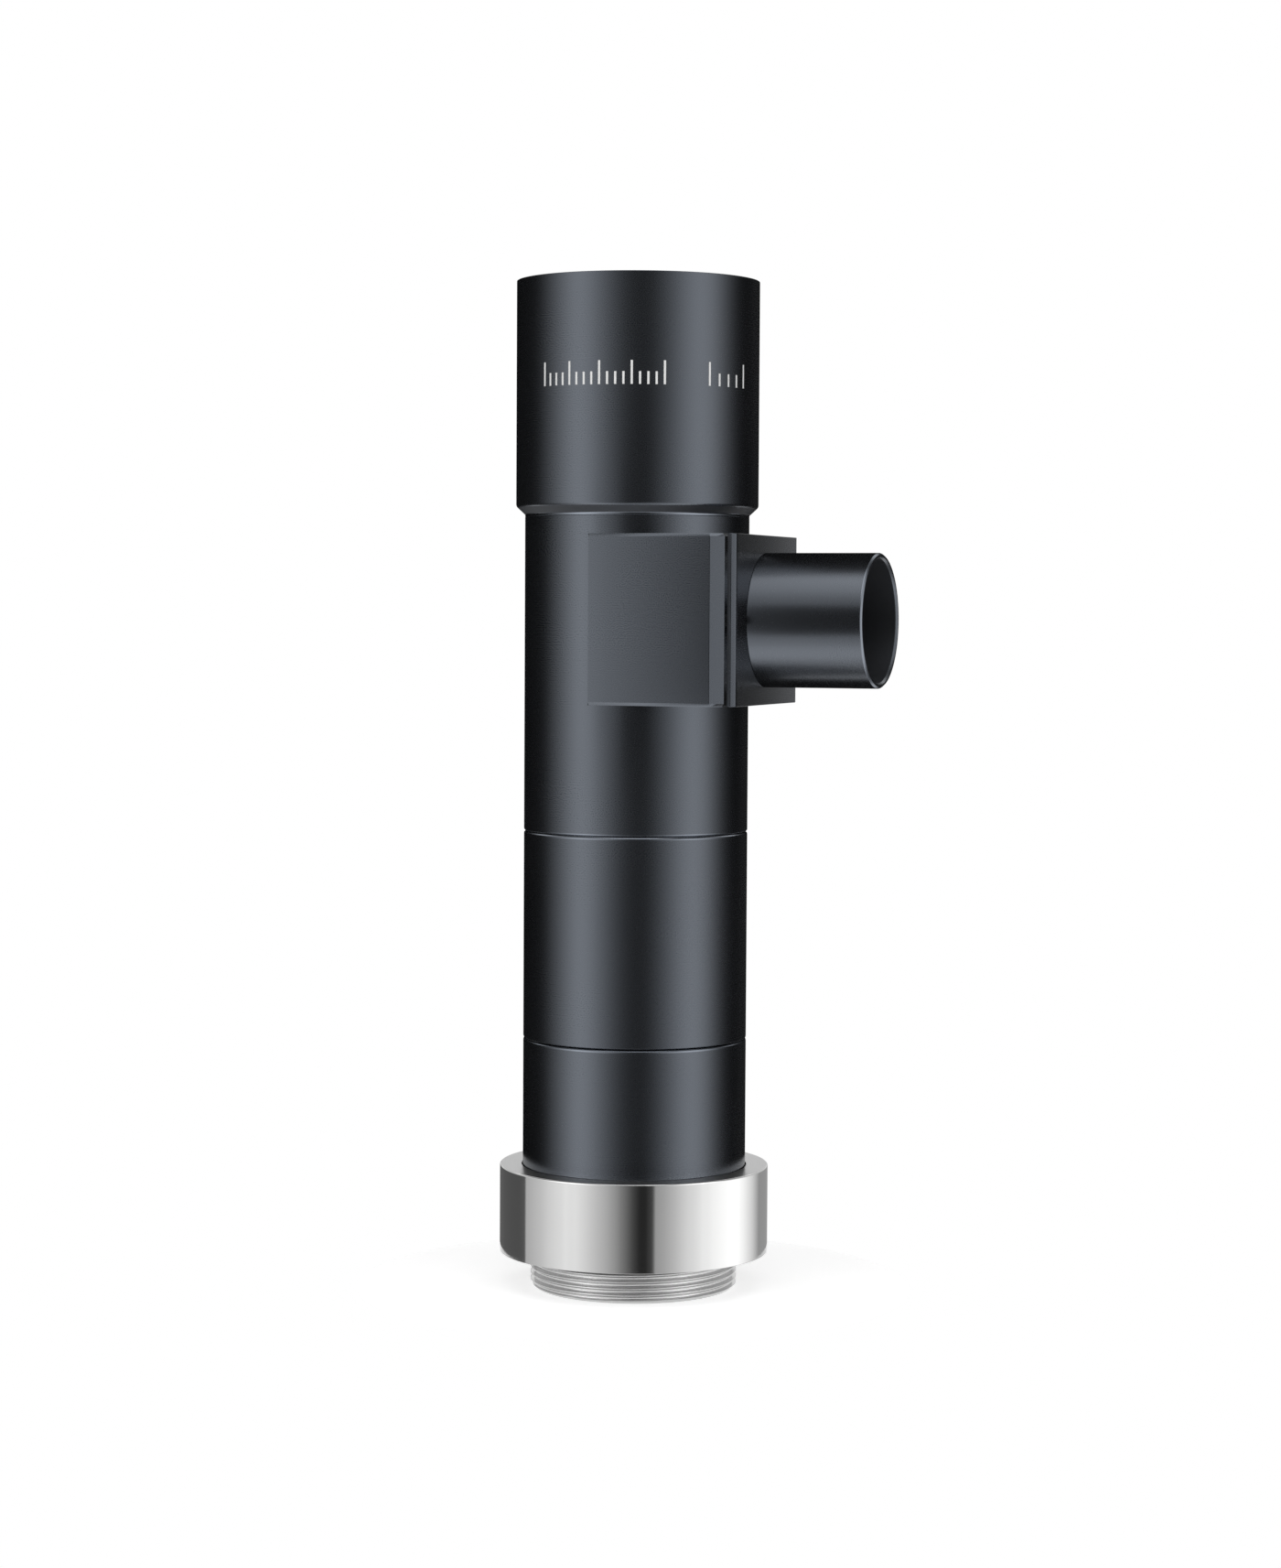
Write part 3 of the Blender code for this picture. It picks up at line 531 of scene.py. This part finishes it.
def rotation(degrees, axis):
    """A turn about one of the three axes."""
    return Matrix.Rotation(math.radians(degrees), 4, axis)


low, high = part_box("light_port_sleeve")
PORT_Z = (low.z + high.z) / 2
ALONG_PORT = UP_LENS_AXIS @ Matrix.Translation((0, 0, PORT_Z)) @ rotation(90, "Y")
main = turned("main_tube", [(0, 94.4), (13.7, 94.4, 0.06), (13.7, 56.2, 0.25), (0, 56.2)], steps=256)
rim = (RIM_INSET, RIM_DROP)
carved(main, prism("port_block", BLOCK_PLAN, BLOCK_BASE, BLOCK_HEIGHT, round_size=0.05, rim=rim), "UNION")
for hand in (-1, 1):
    flat_section = [
        (hand * (FLAT - RIM_INSET), BLOCK_BASE),
        (hand * FLAT, BLOCK_BASE + RIM_DROP),
        (hand * FLAT, BLOCK_TOP - RIM_DROP),
        (hand * (FLAT - RIM_INSET), BLOCK_TOP),
        (hand * PAST_BARREL, BLOCK_TOP),
        (hand * PAST_BARREL, BLOCK_BASE),
    ]
    carved(main, prism("milled_flat", flat_section, FLAT_START, FLAT_RUN, ALONG_BLOCK))
carved(main, turned("main_bore", MAIN_BORE, steps=128))
port_bore = [(0, 16.5), (7.7, 16.5), (7.7, 12.3), (6.3, 12.3), (6.3, 0), (0, 0)]
carved(main, turned("port_bore", port_bore, ALONG_PORT, 128))
grub_hole = [(0, -10), (1.1, -10), (1.1, -PAST_BARREL), (0, -PAST_BARREL)]
for offset in (-4.5, 4.5):
    hole_axis = ALONG_PORT @ Matrix.Translation((offset * MM, 0, 0))
    carved(main, turned("grub_hole", grub_hole, hole_axis, 48))
surfaced(main, BLACK_ANODISING)
burnished(main, (13.7, 56.2))
# Its neighbours stand so close that it would blacken them, so it stays out of their reflections.
main.visible_glossy = False
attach(main, "root")
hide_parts("main_barrel")

# Port plate: a thin black plate with chamfered sides that squares the sleeve on the block. A fine
# shadow gap, left matt, is milled down both its sides where it meets the block.
GAP_FRONT = 16.04
GAP_FLOOR = 11.69
PLATE_PLAN = [
    (15.6, -11.7),
    (16.05, -11.7),
    (16.05, -12.2),
    (16.2, -12.2),
    (16.7, -11.8),
    (16.8, -11.44),
    (16.8, 11.44),
    (16.7, 11.8),
    (16.2, 12.2),
    (16.05, 12.2),
    (16.05, 11.7),
    (15.6, 11.7),
]
plate = prism("port_plate", PLATE_PLAN, BLOCK_BASE, BLOCK_HEIGHT, round_size=0.07)
carved(plate, turned("plate_hole", [(0, 18), (7.7, 18), (7.7, 15), (0, 15)], ALONG_PORT, 128))
MATT_ANODISING = anodised("matt_anodising", roughness=0.5, greyness=4.2, sheen=1.4)
surfaced(plate, BLACK_ANODISING, MATT_ANODISING)
refinished(plate, 1, lambda middle: middle.x < GAP_FRONT and abs(middle.y) > GAP_FLOOR)
# It stays out of its neighbours' reflections, as the main barrel does.
plate.visible_glossy = False
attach(plate, "root")
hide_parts("light_port_plate")

# Port sleeve: a thin-walled black tube that the light slides over. Its spigot clamps the condenser,
# both edges of its rim are chamfered, and its bore keeps a matt black so that it returns no light.
MATT_BORE = 7.42
SLEEVE_SECTION = [
    (7.88, 31.0, 0.05),
    (8.1, 30.76, 0.05),
    (8.1, 16.84),
    (7.6, 16.84),
    (7.6, 14.29),
    (6.9, 14.29),
    (6.9, 17.6),
    (7.4, 17.6),
    (7.4, 30.72, 0.05),
    (7.64, 31.0, 0.05),
]
sleeve = turned("port_sleeve", SLEEVE_SECTION, ALONG_PORT)
surfaced(sleeve, BLACK_ANODISING, MATT_ANODISING)
refinished(sleeve, 1, lambda middle: middle.xy.length < MATT_BORE)
burnished(sleeve, (8.1, 31.0))
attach(sleeve, "root")
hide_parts("light_port_sleeve")

# Condenser: a flat-backed lens of coated glass, clamped by the sleeve's spigot deep in the port. It
# spreads the light over the beamsplitter.
CONDENSER_GLASS = coated_glass("condenser_glass", (0.97, 1, 0.99, 1), 100.0)
condenser = element("port_condenser", (16.0, 14), (12.4, 0), 7.5, CONDENSER_GLASS, ALONG_PORT)
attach(condenser, "root")
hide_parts("condenser_lens")

# Front barrel: the widest tube, screwed into the main barrel. Its foot has a matt taper in to the
# barrel below, and its open end is recessed and threaded for a filter.
TAPER_RADIUS = 13.65
TAPER_FOOT = 94.7
TAPER_TOP = 95.5
FILTER_RADIUS = 13.3
FILTER_PITCH = 0.5
FILTER_DEPTH = 0.26
FILTER_TOP = 122.4
FILTER_FOOT = 116.4
RECESS_FLOOR = 116.18
FRONT_SECTION = [
    (14.8, 123.0, 0.05),
    (14.8, 95.7, 0.25),
    (13.7, 94.68, 0.06),
    (13.7, 94.43, 0.03),
    (12.1, 94.43),
    (12.1, 91.4, 0.2),
    (10.75, 91.4),
    (10.75, 101.0),
    (12.1, 101.0),
    (12.1, 112.78),
    (12.6, 112.78),
    (12.6, RECESS_FLOOR),
]


def filter_thread(angle, radius, height):
    """Cuts the filter's right-handed thread into the wall of the front recess."""
    if radius != FILTER_RADIUS or height > FILTER_TOP:
        return radius
    turns = height / FILTER_PITCH - angle / math.tau
    return radius + FILTER_DEPTH * (1 - thread_profile(turns))


recess_wall = [(FILTER_RADIUS, RECESS_FLOOR)]
recess_wall += [(FILTER_RADIUS, height) for height in reversed(levels(FILTER_TOP, FILTER_FOOT, THREAD_STEP))]
recess_wall.append((FILTER_RADIUS, 123.0, 0.3))
front = turned("front_tube", FRONT_SECTION + recess_wall, cut_thread=filter_thread)
surfaced(front, BLACK_ANODISING, MATT_ANODISING, sharp=66)
refinished(front, 1, lambda middle: middle.xy.length > TAPER_RADIUS and TAPER_FOOT < middle.z < TAPER_TOP)
burnished(front, (13.7, 94.5))
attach(front, "root")
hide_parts("front_barrel")

# Front group: a cemented doublet, a spacer and a single element, clamped by a slotted ring. All
# four pieces show through the front of the lens.
FRONT_GLASS = coated_glass("front_glass", (0.96, 0.99, 1, 1), 125.0)
front_flint = element("front_flint", (102.817, -35), (100.617, -120), 12.0, DOUBLET_GLASS)
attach(front_flint, "root")
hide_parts("front_doublet_flint")
front_crown = element("front_crown", (108.917, 45), (102.917, -35), 12.0, DOUBLET_GLASS)
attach(front_crown, "root")
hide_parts("front_doublet_crown")
front_lens = element("front_lens", (114.277, 60), (110.077, 0), 12.0, FRONT_GLASS)
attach(front_lens, "root")
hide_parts("front_element")
spacer_section = [(12.0, 109.977, 0.08), (12.0, 107.677), (10.9, 107.677), (10.9, 109.977, 0.08)]
spacer = turned("front_spacer", spacer_section)
surfaced(spacer, BLACK_ANODISING)
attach(spacer, "root")
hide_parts("front_spacer_ring")
front_ring = retaining_ring("front_lens_ring", 12.5, 10.9, 113.379, 2.0)
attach(front_ring, "root")
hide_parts("front_retaining_ring")

# Marking: plain white graduations round the front barrel, screen printed in two groups. They are
# thin ink, a few hundredths of a millimetre proud.
INK_RADIUS = 14.825
INK_DEPTH = 0.05
PRINT_BASE = 109.7
STROKE_WIDTH = 0.26
LONG_STROKE = 2.8
SHORT_STROKE = 1.5
STROKE_GROUPS = [(17, -48.5, 3.8), (5, 35.0, 5.8)]
CAMERA_SIDE = 20.14


def printed(name, strokes, material):
    """Ink strokes of (degrees round from the camera's side, width, low, high) on the front barrel."""
    bm = bmesh.new()
    for degrees, width, base, top in strokes:
        half = math.degrees(width / 2 / INK_RADIUS)
        corners = []
        for lean, height in ((-half, base), (half, base), (half, top), (-half, top)):
            angle = math.radians(degrees + lean + CAMERA_SIDE - 90)
            corners.append((angle, height))
        faces = []
        for radius in (INK_RADIUS, INK_RADIUS - INK_DEPTH):
            ring = [(radius * math.cos(a), radius * math.sin(a), z) for a, z in corners]
            faces.append([bm.verts.new(Vector(point) * MM) for point in ring])
        outer, inner = faces
        bm.faces.new(outer)
        bm.faces.new(inner[::-1])
        for i in range(4):
            bm.faces.new((outer[i - 1], inner[i - 1], inner[i], outer[i]))
    bmesh.ops.recalc_face_normals(bm, faces=bm.faces)
    mesh = bpy.data.meshes.new(name)
    bm.to_mesh(mesh)
    bm.free()
    piece = bpy.data.objects.new(name, mesh)
    bpy.context.scene.collection.objects.link(piece)
    piece.matrix_world = UP_LENS_AXIS
    piece.data.materials.append(material)
    return piece


def white_ink():
    """Opaque white printing ink, a little uneven."""
    material, shader, start = finish("white_ink", {"Specular IOR Level": 0.4})
    place = start.node("TexCoord", {}, {}, "Object")
    uneven = noise(start, place, 1500.0)
    mixed(uneven, (0.8, 0.8, 0.79, 1), (0.9, 0.9, 0.9, 1)).into(shader.inputs["Base Color"])
    (0.45 + uneven * 0.15).into(shader.inputs["Roughness"])
    return material


WHITE_INK = white_ink()
strokes = []
for count, first, spacing in STROKE_GROUPS:
    for i in range(count):
        height = SHORT_STROKE if i % 4 else LONG_STROKE
        strokes.append((first + i * spacing, STROKE_WIDTH, PRINT_BASE, PRINT_BASE + height))
graduations = printed("printed_graduations", strokes, WHITE_INK)
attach(graduations, "root")

# Hidden pieces: the beamsplitter in its cell, the stop, the baffle and the small fasteners keep
# their solids, and each takes the finish of the real one.


def blackened_steel():
    """Black oxide on the small steel screws and pins."""
    material, shader, start = finish("black_oxide", {"Metallic": 1.0})
    place = start.node("TexCoord", {}, {}, "Object")
    oxide = noise(start, place, 2000.0)
    mixed(oxide, (0.03, 0.03, 0.032, 1), (0.06, 0.06, 0.062, 1)).into(shader.inputs["Base Color"])
    (0.35 + oxide * 0.2).into(shader.inputs["Roughness"])
    return material


BLACK_OXIDE = blackened_steel()
SPLITTER_GLASS = coated_glass("splitter_glass", (0.3, 0.32, 0.33, 1), 90.0)
KEPT_FINISHES = {
    BLACK_ANODISING: (
        "beamsplitter_cell",
        "beamsplitter_retaining_ring",
        "aperture_stop",
        "stop_retaining_ring",
        "rear_doublet_retaining_ring",
        "rear_baffle",
    ),
    SPLITTER_GLASS: ("beamsplitter_upper_prism", "beamsplitter_lower_prism"),
    BLACK_OXIDE: ("port_dowel_near", "port_dowel_far", "cell_grub_screw_upper", "cell_grub_screw_lower"),
}
for material, names in KEPT_FINISHES.items():
    for name in names:
        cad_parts[name].material_slots[0].material = material

# Table: a small round white board that the lens stands on. It reads as white as the backdrop
# and keeps a soft shadow round the thread.
TABLE_RADIUS = 34
TABLE_LIFT = 0.64


def table_white():
    """Matt white board, lifted to the backdrop's white for the eye, for metal and for glass."""
    material, shader, start = finish("table_white", {"Specular IOR Level": 0.2, "Roughness": 0.8})
    place = start.node("TexCoord", {}, {}, "Object")
    fibre = noise(start, place, 400.0)
    mixed(fibre, (0.66, 0.66, 0.66, 1), (0.7, 0.7, 0.7, 1)).into(shader.inputs["Base Color"])
    rays = start.node("LightPath", {}, {}, "Is Camera Ray")
    seen = rays.math("MAXIMUM", rays, rays.also("Is Glossy Ray"))
    seen = rays.math("MAXIMUM", seen, rays.also("Is Transmission Ray"))
    glow = (TABLE_LIFT, TABLE_LIFT, TABLE_LIFT, 1)
    mixed(seen, (0, 0, 0, 1), glow).into(shader.inputs["Emission Color"])
    shader.inputs["Emission Strength"].default_value = 1.0
    return material


table = turned("table", [(0, 0), (TABLE_RADIUS, 0)], steps=128, closed=False)
table.data.materials.append(table_white())

# Light tent: a sphere of pale cloth that glows softly. It has a tall bright panel on each side, a
# panel over the front and a dimmer one under it, each between two strips, and two panels behind.
# A pair of values below says where a panel's soft edge starts and ends, from -1 to 1 across the tent.
TENT_RADIUS = 0.8
FULL = 2.4
SIDE_PANELS = [
    (-180, 0.0),
    (-115, 0.0),
    (-105, 0.03),
    (-97, 0.19),
    (-85, 0.53),
    (-72, 1.12),
    (-60, 1.68),
    (-50, 1.55),
    (-40, 1.1),
    (-30, 0.69),
    (-20, 0.33),
    (-10, 0.12),
    (0, 0.04),
    (10, 0.04),
    (16, 0.12),
    (25, 0.36),
    (35, 0.72),
    (47, 1.27),
    (60, 1.62),
    (72, 1.32),
    (82, 0.78),
    (92, 0.33),
    (102, 0.08),
    (112, 0.0),
    (126, 0.0),
    (140, 0.03),
    (155, 0.02),
    (180, 0.0),
]
BACK_PANELS = [
    (-180, 0.0),
    (-166, 0.0),
    (-150, 0.6),
    (-138, 1.3),
    (-122, 0.3),
    (-112, 0.0),
    (112, 0.0),
    (128, 0.4),
    (142, 1.3),
    (155, 0.5),
    (168, 0.0),
    (180, 0.0),
]
BEHIND_FOOT = (0.32, 0.5)
BEHIND_TOP = (0.7, 0.85)
OVERHEAD_LEVEL = 1.8
OVERHEAD_FOOT = (0.45, 0.7)
UNDERNEATH_LEVEL = 0.8
UNDERNEATH_TOP = (0.4, 0.6)
MIDDLE_SIDE = (0.28, 0.42)
MIDDLE_BACK = (-0.2, 0.12)
STRIP_LEVEL = 1.7
STRIP_FADE = 0.65
STRIP_FADING = (-0.25, 0.15)
STRIP_INSIDE = (0.22, 0.42)
STRIP_OUTSIDE = (0.55, 0.75)
STRIP_FOOT = (0.6, 0.78)
STRIP_BACK = (0.25, 0.5)
UPPER_FADE = 0.28
UPPER_FADING = (0.15, 0.5)


def ramp(start, angle, lights):
    """Light levels by compass angle, from -180 to 180 degrees."""
    stops = [((degrees + 180) / 360, level / FULL) for degrees, level in lights]
    return start.node("ValToRGB", {"stops": stops}, {0: angle / math.tau + 0.5}) * FULL


def between(start, value, low, high):
    """A smooth step from 0 to 1."""
    return start.node("MapRange", {"interpolation_type": "SMOOTHSTEP"}, {0: value, 1: low, 2: high})


def glowing_cloth(name, level_from, sheer=False):
    """Cloth that glows by a level worked out from the place on it, with its middle at the origin."""
    material = bpy.data.materials.new(name)
    material.use_nodes = True
    tree = material.node_tree
    tree.nodes.clear()
    start = Signal(tree.nodes.new("ShaderNodeTexCoord").outputs["Object"])
    cloth = start.node("Emission", {}, {"Strength": level_from(start)}, "Emission")
    if sheer:
        gaps = start.node("BsdfTransparent", {}, {}, "BSDF")
        cloth = start.node("AddShader", {}, {0: gaps, 1: cloth}, "Shader")
    ending = tree.nodes.new("ShaderNodeOutputMaterial")
    cloth.into(ending.inputs["Surface"])
    return material


def tent_level(start):
    """The tent's panels: those at the sides are full height, and the rest stay off the horizon."""
    way = start.node("VectorMath", {"operation": "NORMALIZE"}, {0: start}, "Vector")
    across = start.node("SeparateXYZ", {}, {0: way})
    away, height = across.also("Y"), across.also("Z")
    compass = start.math("ARCTAN2", across, 0 - away)
    steep = start.math("ABSOLUTE", height)
    wide = start.math("ABSOLUTE", across)
    behind = ramp(start, compass, BACK_PANELS) * between(start, steep, *BEHIND_FOOT)
    behind = behind * (1 - between(start, steep, *BEHIND_TOP))
    inwards = 1 - between(start, wide, *MIDDLE_SIDE)
    front = 1 - between(start, away, *MIDDLE_BACK)
    strips = between(start, wide, *STRIP_INSIDE) * (1 - between(start, wide, *STRIP_OUTSIDE))
    strips = strips * between(start, steep, *STRIP_FOOT) * (1 - between(start, away, *STRIP_BACK))
    upper = 1 - between(start, height, *UPPER_FADING) * UPPER_FADE
    strips_lit = strips * upper * (1 - between(start, away, *STRIP_FADING) * STRIP_FADE) * STRIP_LEVEL
    overhead = between(start, height, *OVERHEAD_FOOT) * inwards * front
    underneath = between(start, 0 - height, *UNDERNEATH_TOP) * inwards * front
    sides = (ramp(start, compass, SIDE_PANELS) * upper + behind) * (1 - strips)
    sides = sides * (1 - overhead) * (1 - underneath)
    return sides + overhead * OVERHEAD_LEVEL + underneath * UNDERNEATH_LEVEL + strips_lit


def staged(piece, material):
    """A lamp's cloth round the object: the camera looks through it."""
    piece.data.materials.append(material)
    piece.data.shade_smooth()
    piece.visible_camera = False
    piece.visible_shadow = False


ARC = [math.radians(6 * i) for i in range(31)]
TENT_SECTION = [(TENT_RADIUS / MM * math.sin(a), TENT_RADIUS / MM * math.cos(a)) for a in ARC]
FACING_CAMERA = UP_LENS_AXIS @ rotation(CAMERA_SIDE, "Z")
TENT_MIDDLE = FACING_CAMERA @ Matrix.Translation((0, 0, 0.08))
tent = turned("light_tent", TENT_SECTION, TENT_MIDDLE, 96, closed=False)
staged(tent, glowing_cloth("tent_cloth", tent_level))

# Ring gauze: a band of sheer cloth inside the tent, lit for the plated ring alone. It widens the
# two side panels there, so the bright metal shows broad bands with crisp edges and a pale top.
GAUZE_RADIUS = 0.6
GAUZE_TOP_LEVEL = 0.95
GAUZE_FRONT_GAIN = 1.2
GAUZE_RISE = (-0.085, -0.045)
GAUZE_TURN = (-0.1, 0.1)
GAUZE_PANELS = [
    (-180, 0.1),
    (-160, 0.15),
    (-105.5, 0.15),
    (-104.5, 0.82),
    (-95, 0.74),
    (-86, 0.63),
    (-78, 0.48),
    (-70, 0.26),
    (-62, 0.0),
    (-54, 0.0),
    (-41, 0.24),
    (-28, 0.39),
    (-21, 0.44),
    (-15, 0.38),
    (-8, 0.24),
    (-2, 0.1),
    (5, 0.0),
    (16.6, 0.0),
    (17.6, 0.5),
    (24, 0.42),
    (37, 0.3),
    (51, 0.12),
    (58, 0.13),
    (65.5, 0.37),
    (73, 0.77),
    (81, 1.35),
    (90, 1.89),
    (99, 2.2),
    (109, 1.88),
    (121, 1.3),
    (135, 0.5),
    (160, 0.4),
]


def gauze_level(start):
    """The gauze's panels below, and above them what the ring's top face needs.

    That is an even glow behind, and in front more of the tent's own panels, since the barrel's foot
    shows them in the ring's top face.
    """
    across = start.node("SeparateXYZ", {}, {0: start})
    compass = start.math("ARCTAN2", across, 0 - across.also("Y"))
    upper = between(start, across.also("Z"), *GAUZE_RISE)
    behind = between(start, across.also("Y"), *GAUZE_TURN)
    top = behind * GAUZE_TOP_LEVEL + (1 - behind) * ramp(start, compass, SIDE_PANELS) * GAUZE_FRONT_GAIN
    return ramp(start, compass, GAUZE_PANELS) * (1 - upper) + upper * top


GAUZE_SECTION = [(GAUZE_RADIUS / MM, 320), (GAUZE_RADIUS / MM, -420)]
gauze = turned("ring_gauze", GAUZE_SECTION, TENT_MIDDLE, 96, closed=False)
staged(gauze, glowing_cloth("gauze_cloth", gauze_level, sheer=True))
plated_pieces = bpy.data.collections.new("plated_pieces")
plated_pieces.objects.link(mount)
gauze.light_linking.receiver_collection = plated_pieces

# Grey card: a small flag close to the port, pale at its left edge and black from its middle on.
# It shades the right of the block's face and the middle of the sleeve in their reflections.
CARD_HEADING = -39.5
CARD_DISTANCE = 40
CARD_THICKNESS = 0.5
CARD_LEFT = 3
CARD_RIGHT = 50
CARD_PLAN = [
    (CARD_LEFT, 67),
    (18, 67),
    (18, 62),
    (CARD_RIGHT, 62),
    (CARD_RIGHT, 102),
    (18, 102),
    (18, 98),
    (CARD_LEFT, 98),
]
CARD_SHADES = [(0.0, 1.0), (0.1, 0.76), (0.32, 0.32), (0.4, 0.05), (1.0, 0.0)]


def card_level(start):
    """The card's shade from its left edge to its right one."""
    from_left = (start.node("SeparateXYZ", {}, {0: start}) / MM - CARD_LEFT) / (CARD_RIGHT - CARD_LEFT)
    return start.node("ValToRGB", {"stops": CARD_SHADES}, {0: from_left})


upright_card = FACING_CAMERA @ rotation(CARD_HEADING, "Z") @ rotation(90, "X")
card = prism("grey_card", CARD_PLAN, CARD_DISTANCE, CARD_THICKNESS, upright_card)
staged(card, glowing_cloth("card_face", card_level))
card.visible_diffuse = False
card.visible_transmission = False

# Port gauze: sheer cloth beyond the port, lit for the plate alone. Its glow grows evenly from one
# side to the other, so the plate's end face brightens towards its far edge.
PORT_GAUZE_HEADING = -17.9
PORT_GAUZE_DISTANCE = 22
PORT_GAUZE_THICKNESS = 0.5
PORT_GAUZE_EDGE = 3
PORT_GAUZE_PLAN = [(-16, -25), (PORT_GAUZE_EDGE, -25), (PORT_GAUZE_EDGE, 25), (-16, 25)]
PORT_GAUZE_SLOPE = 0.024
low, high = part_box("light_port_plate")
PLATE_END = Matrix.Translation((high.x, 0, PORT_Z)) @ rotation(PORT_GAUZE_HEADING, "Z")


def port_gauze_level(start):
    """The gauze's glow, from full at its left to none at its right."""
    across = start.node("SeparateXYZ", {}, {0: start}) / MM
    return (PORT_GAUZE_EDGE - across) * PORT_GAUZE_SLOPE


port_gauze = prism(
    "port_gauze",
    PORT_GAUZE_PLAN,
    PORT_GAUZE_DISTANCE,
    PORT_GAUZE_THICKNESS,
    PLATE_END @ rotation(-90, "X"),
)
staged(port_gauze, glowing_cloth("port_gauze_cloth", port_gauze_level, sheer=True))
plate_alone = bpy.data.collections.new("plate_alone")
plate_alone.objects.link(plate)
port_gauze.light_linking.receiver_collection = plate_alone

# Backdrop: seamless white paper beyond the tent. The camera alone sees it, straight through the
# cloth.
world = bpy.data.worlds.new("white_backdrop")
world.use_nodes = True
world.node_tree.nodes["Background"].inputs["Color"].default_value = (1, 1, 1, 1)
bpy.context.scene.world = world
bpy.context.scene.view_settings.view_transform = "Standard"

# Camera: a long lens at the photograph's place, a little above the middle of the object and
# turned a fifth of a right angle round from its side.
CAMERA_DISTANCE = 415.7
CAMERA_HEIGHT = 82.86
CAMERA_HEADING = 20.062
CAMERA_DIP = 2.895
CAMERA_ROLL = 0.314
photo_lens = bpy.data.cameras.new("camera")
photo_lens.lens = 77.9
photo_lens.sensor_width = 36
photo_lens.clip_start = 0.01
photo_lens.clip_end = 20
camera = bpy.data.objects.new("camera", photo_lens)
bpy.context.scene.collection.objects.link(camera)
bearing = math.radians(CAMERA_SIDE)
stand = Vector((math.sin(bearing) * CAMERA_DISTANCE, -math.cos(bearing) * CAMERA_DISTANCE, CAMERA_HEIGHT))
aim = rotation(CAMERA_HEADING, "Z") @ rotation(90 - CAMERA_DIP, "X") @ rotation(CAMERA_ROLL, "Z")
camera.matrix_world = UP_LENS_AXIS @ Matrix.Translation(stand * MM) @ aim
bpy.context.scene.camera = camera
